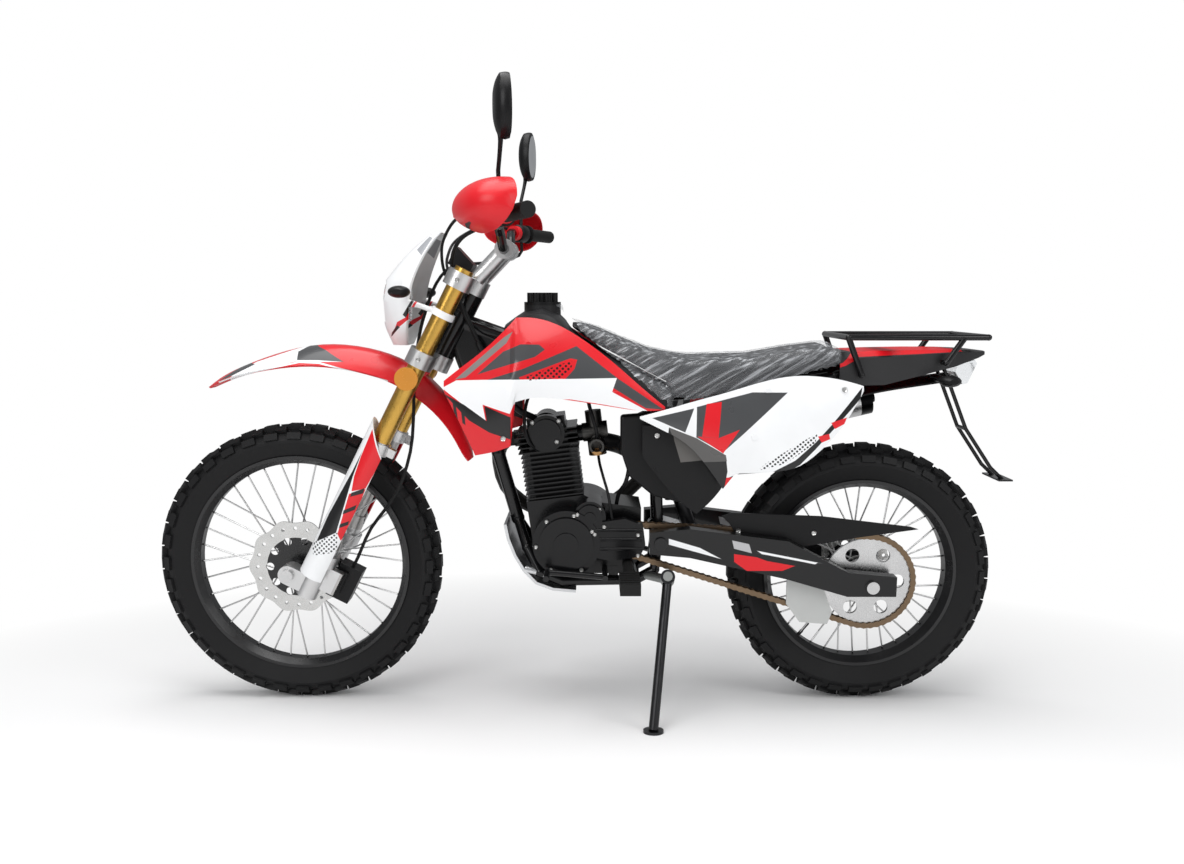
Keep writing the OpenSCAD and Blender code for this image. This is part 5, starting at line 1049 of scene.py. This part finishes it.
# %% Headlamp bowl and bulb
LAMP_SPOT = [((-440, 0, 997), (1, 0, 0))]
turned_piece("headlamp_bowl", "steering", "clear_lens", metal("lamp_bowl", (0.8, 0.8, 0.8), 0.1),
             [(6, 30), (14, 27), (26, 18), (36, 6), (42, -6), (43, -6), (37, 8), (26, 21), (14, 30), (6, 33)],
             LAMP_SPOT)
turned_piece("headlamp_bulb", "steering", "clear_lens", plastic("bulb_glass", (0.75, 0.75, 0.72), 0.2),
             [(0.2, 4), (5, 6), (7, 12), (6, 24), (0.2, 28)], LAMP_SPOT)
print("headlamp bowl and bulb done")

# %% Valve stems
STEM = [(0.2, 36), (3, 36), (3, 14), (4.4, 10), (4.4, -6)]
stem_rubber = plastic("stem_rubber", BLACK, 0.5)
# piece, wheel, axle, radius at the rim, way in to the axle
VALVES = [
    ("front_valve", "front_wheel", FRONT_AXLE, FRONT_RIM_IN, (-0.5, 0, -0.866)),
    ("rear_valve", "rear_wheel", REAR_AXLE, 216, (0.64, 0, 0.768)),
]
for name, wheel, axle, rim_r, inwards in VALVES:
    at = (axle[0] - rim_r * inwards[0], 0, axle[1] - rim_r * inwards[2])
    turned_piece(name, wheel, "rubber", stem_rubber, STEM, [(at, inwards)])
print("valve stems:", len(VALVES))

# %% [markdown]
# ## Airbox
# Behind its cover, the airbox is a plain moulded box. One outline in the side view is extruded across the
# motorcycle and its edges are beveled, which gives the rounded corners of a moulding without drawing them.

# %% Airbox behind its cover
AIRBOX_LINE = [(98, 732), (176, 738), (300, 668), (322, 610), (258, 520), (176, 540), (118, 588), (98, 650)]
AIRBOX_IN = -72  # y of its inner wall, in upright millimetres
AIRBOX_WIDE = 0.036
AIRBOX_EDGE = 0.007
bm = bmesh.new()
wall = bm.faces.new([bm.verts.new(place(x, AIRBOX_IN, z)) for x, z in AIRBOX_LINE])
grown = bmesh.ops.extrude_face_region(bm, geom=[wall])
outer = [v for v in grown["geom"] if isinstance(v, bmesh.types.BMVert)]
bmesh.ops.translate(bm, verts=outer, vec=PARK.to_3x3() @ Vector((0, -AIRBOX_WIDE, 0)))
bmesh.ops.bevel(bm, geom=bm.edges[:], offset=AIRBOX_EDGE, segments=3, profile=0.5, affect="EDGES",
                material=-1)
airbox = keep("airbox_body", bm, plastic("airbox_black", BLACK, 0.4), "chassis", "dark_plastic")
print("airbox body:", len(airbox.data.polygons), "faces")

# %% [markdown]
# ## Screws
# A screw is set on the surface that it holds. A ray across the motorcycle finds that surface and its normal,
# so the screw sits square to it whatever way the piece leans. All screws of one kind are one piece, and each
# is a short cone whose top face is inset to make the socket.

# %% Surfaces met by a line
skins = {}


def skin_of(name):
    """A node's mesh as a tree that rays can be cast at, made once."""
    if name not in skins:
        bm = bmesh.new()
        bm.from_mesh(nodes[name].data)
        skins[name] = BVHTree.FromBMesh(bm)
        bm.free()
    return skins[name]


FAR = 700  # millimetres; rays start this far out


def surface(name, x, z, side):
    """Where a line across the motorcycle first meets a node, from the left (-1) or right (1)."""
    way = PARK.to_3x3() @ Vector((0, -side, 0))
    at, normal, _, _ = skin_of(name).ray_cast(place(x, side * FAR, z), way)
    if at is not None and normal.dot(way) > 0:
        normal = -normal
    return at, normal


print("rays start", FAR, "mm out")

# %% Screw helpers
SUNK_SHARE = 1 / 12  # shares of a screw's height or width
TOP_SHARE = 0.9
RIM_SHARE = 0.2
SOCKET_SHARE = 0.4


def screws(piece_name, body, wide, high, spots):
    """Socket screws of one size (mm), as one piece. Each spot: the node that it holds, x, z, side."""
    bm = bmesh.new()
    for name, x, z, side in spots:
        at, normal = surface(name, x, z, side)
        if at is None:
            print("no surface for a screw:", name, x, z)
            continue
        middle = at + normal * high * (0.5 - SUNK_SHARE) / 1000
        stand = Matrix.Translation(middle) @ normal.to_track_quat("Z", "Y").to_matrix().to_4x4()
        foot_r = wide / 2 / 1000
        made = bmesh.ops.create_cone(bm, cap_ends=True, segments=14, radius1=foot_r,
                                     radius2=foot_r * TOP_SHARE, depth=high / 1000, matrix=stand)
        faces = {f for v in made["verts"] for f in v.link_faces if len(f.verts) > 4}
        top = max(faces, key=lambda f: f.calc_center_median().dot(normal))
        bmesh.ops.inset_individual(bm, faces=[top], thickness=wide * RIM_SHARE / 1000,
                                   depth=-high * SOCKET_SHARE / 1000)
    print(piece_name + ":", len(spots), "screws")
    return keep(piece_name, bm, bright_steel, body, "steel")


def round_spots(name, x, z, radius, turns, side):
    """Spots on a circle, at the given angles in degrees."""
    return [(name, x + radius * math.cos(math.radians(a)), z + radius * math.sin(math.radians(a)), side)
            for a in turns]


bright_steel = metal("screw_steel", (0.55, 0.55, 0.54), 0.3)
print("screw helpers ready")

# %% Screws
SIDES = {"_left": -1, "_right": 1}
engine_spots = round_spots("engine_crankcase", -30, 428, 72, (20, 75, 130, 185, 240, 300), -1)
engine_spots += round_spots("engine_crankcase", 26, 490, 31, (40, 160, 280), -1)
engine_spots += [("engine_crankcase", x, z, -1) for x, z in ((60, 470), (140, 450), (140, 400))]
engine_spots += round_spots("engine_crankcase", -10, 420, 72, (30, 90, 150, 210, 270, 330), 1)
screws("engine_screws", "chassis", wide=10, high=5, spots=engine_spots)
HEAD_CORNERS = ((-118, 660), (-52, 668), (-110, 712), (-48, 716))
head_spots = [("engine_cylinder", x, z, side) for side in SIDES.values() for x, z in HEAD_CORNERS]
screws("head_screws", "chassis", wide=11, high=6, spots=head_spots)
panel_spots = [(panel + hand, x, z, side) for hand, side in SIDES.items()
               for panel, x, z in (("shroud", -170, 690), ("side_panel", 600, 800))]
panel_spots += [("fuel_tank", -125, 948, -1), ("fuel_tank", -125, 948, 1), ("airbox_cover", 182, 690, -1),
                ("chain_guard", 380, 455, -1), ("chain_guard", 560, 450, -1)]
screws("panel_screws", "chassis", wide=13, high=4, spots=panel_spots)
clamp_spots = [(name, *in_fork(FORK_BEHIND, up_fork), side) for side in SIDES.values()
               for name, up_fork in (("upper_clamp", 811), ("lower_clamp", 609))]
screws("clamp_screws", "steering", wide=11, high=5, spots=clamp_spots)

# %% [markdown]
# ## Cables and hoses
# Cables and hoses are smooth tubes through a few points, made as a curve and then turned into a mesh. The
# control cables start on the handlebar and end in the loom beside the frame, and they ride on no body. The
# hoses stay with the frame, and their ends are sunk in the pieces that they join. Two ends are not: the loom
# begins where the control cables enter it, and the plug lead stops in the hollow under the tank, where a coil
# would hang.

# %% Control cables
cable_rubber = plastic("cable_rubber", BLACK, rough=0.44, grain=500.0)


def tube(name, wide, points, body=None):
    """A smooth tube through upright places in mm."""
    data = bpy.data.curves.new(name, "CURVE")
    data.dimensions = "3D"
    data.bevel_depth = wide / 2 / 1000
    data.bevel_resolution = 2
    data.resolution_u = 8
    data.use_fill_caps = True
    line = data.splines.new("BEZIER")
    line.bezier_points.add(len(points) - 1)
    for knot, point in zip(line.bezier_points, points):
        knot.co = place(*point)
        knot.handle_left_type = knot.handle_right_type = "AUTO"
    path = bpy.data.objects.new(name + "_path", data)
    scene.collection.objects.link(path)
    view = bpy.context.evaluated_depsgraph_get()
    bm = bmesh.new()
    bm.from_mesh(bpy.data.meshes.new_from_object(path.evaluated_get(view)))
    bpy.data.objects.remove(path)
    for face in bm.faces:
        face.smooth = True
    return keep(name, bm, cable_rubber, body, "rubber")


CONTROLS = {
    "clutch_cable": (7, [
        (-170, -262, 1180), (-232, -214, 1186), (-292, -140, 1150), (-314, -84, 1092), (-300, -62, 1030),
        (-262, -54, 950), (-226, -50, 880)]),
    "switch_loom": (9, [
        (-150, -240, 1168), (-206, -190, 1158), (-276, -120, 1120), (-292, -74, 1060), (-276, -58, 990),
        (-240, -44, 900)]),
    "throttle_cable": (7, [
        (-170, 262, 1180), (-232, 214, 1190), (-296, 130, 1160), (-318, 40, 1112), (-302, -46, 1050),
        (-262, -48, 960), (-232, -47, 888)]),
}
for name, (wide, points) in CONTROLS.items():
    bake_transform(tube(name, wide, points))
print("control cables:", len(CONTROLS))

# %% Hoses
HOSES = {
    "intake_boot": (44, [(64, 0, 655), (92, -18, 651), (116, -54, 646), (134, -82, 643)]),
    "main_loom": (16, [
        (-240, -46, 900), (-214, -56, 850), (-186, -60, 790), (-150, -58, 745), (-104, -36, 716)]),
    "fuel_hose": (9, [
        (18, -58, 806), (22, -64, 764), (34, -74, 720), (42, -74, 690), (42, -50, 667), (39, -16, 662)]),
    "plug_lead": (8, [
        (-96, -60, 640), (-120, -90, 672), (-128, -80, 730), (-112, -48, 800), (-100, -10, 856)]),
    "drain_hose": (7, [
        (46, -12, 626), (50, -44, 606), (58, -70, 580), (70, -92, 540), (78, -104, 490), (88, -100, 440)]),
    "breather_hose": (10, [
        (90, -40, 504), (96, -50, 534), (112, -66, 566), (122, -70, 620), (130, -68, 680), (142, -84, 716)]),
}
for name, (wide, points) in HOSES.items():
    tube(name, wide, points, "chassis")
print("hoses:", len(HOSES))

# %% [markdown]
# ## Mirror glass
# The mirrors face back to the rider and a little inwards. Their glass is a thin oval laid just proud of the
# shell, found by a ray from behind, with a metal finish that is almost a perfect mirror.

# %% Mirror glass
MIRROR_AT = (-148, 332, 1382)
TOE_IN = math.radians(12)
GLASS_R = 0.036
GLASS_TALL = 1.55  # times as tall as it is wide
GLASS_PROUD = 0.0006
FROM_BEHIND = 0.2
glass = metal("mirror_glass", (0.78, 0.8, 0.82), rough=0.05, stretch=(5.0, 5.0, 5.0))
bm = bmesh.new()
for side in SIDES.values():
    centre = place(MIRROR_AT[0], side * MIRROR_AT[1], MIRROR_AT[2])
    toe = TOE_IN * side
    back = PARK.to_3x3() @ Vector((math.cos(toe), -math.sin(toe), 0.0))
    at, _, _, _ = skin_of("mirrors").ray_cast(centre + back * FROM_BEHIND, -back)
    if at is None:
        print("no mirror surface on side", side)
        continue
    stand = Matrix.Translation(at + back * GLASS_PROUD) @ back.to_track_quat("Z", "Y").to_matrix().to_4x4()
    bmesh.ops.create_circle(bm, cap_ends=True, radius=GLASS_R, segments=40,
                            matrix=stand @ Matrix.Diagonal((1.0, GLASS_TALL, 1.0, 1.0)))
panes = keep("mirror_glass", bm, glass, "steering", "clear_lens")
print("mirror glass:", len(panes.data.polygons), "panes")
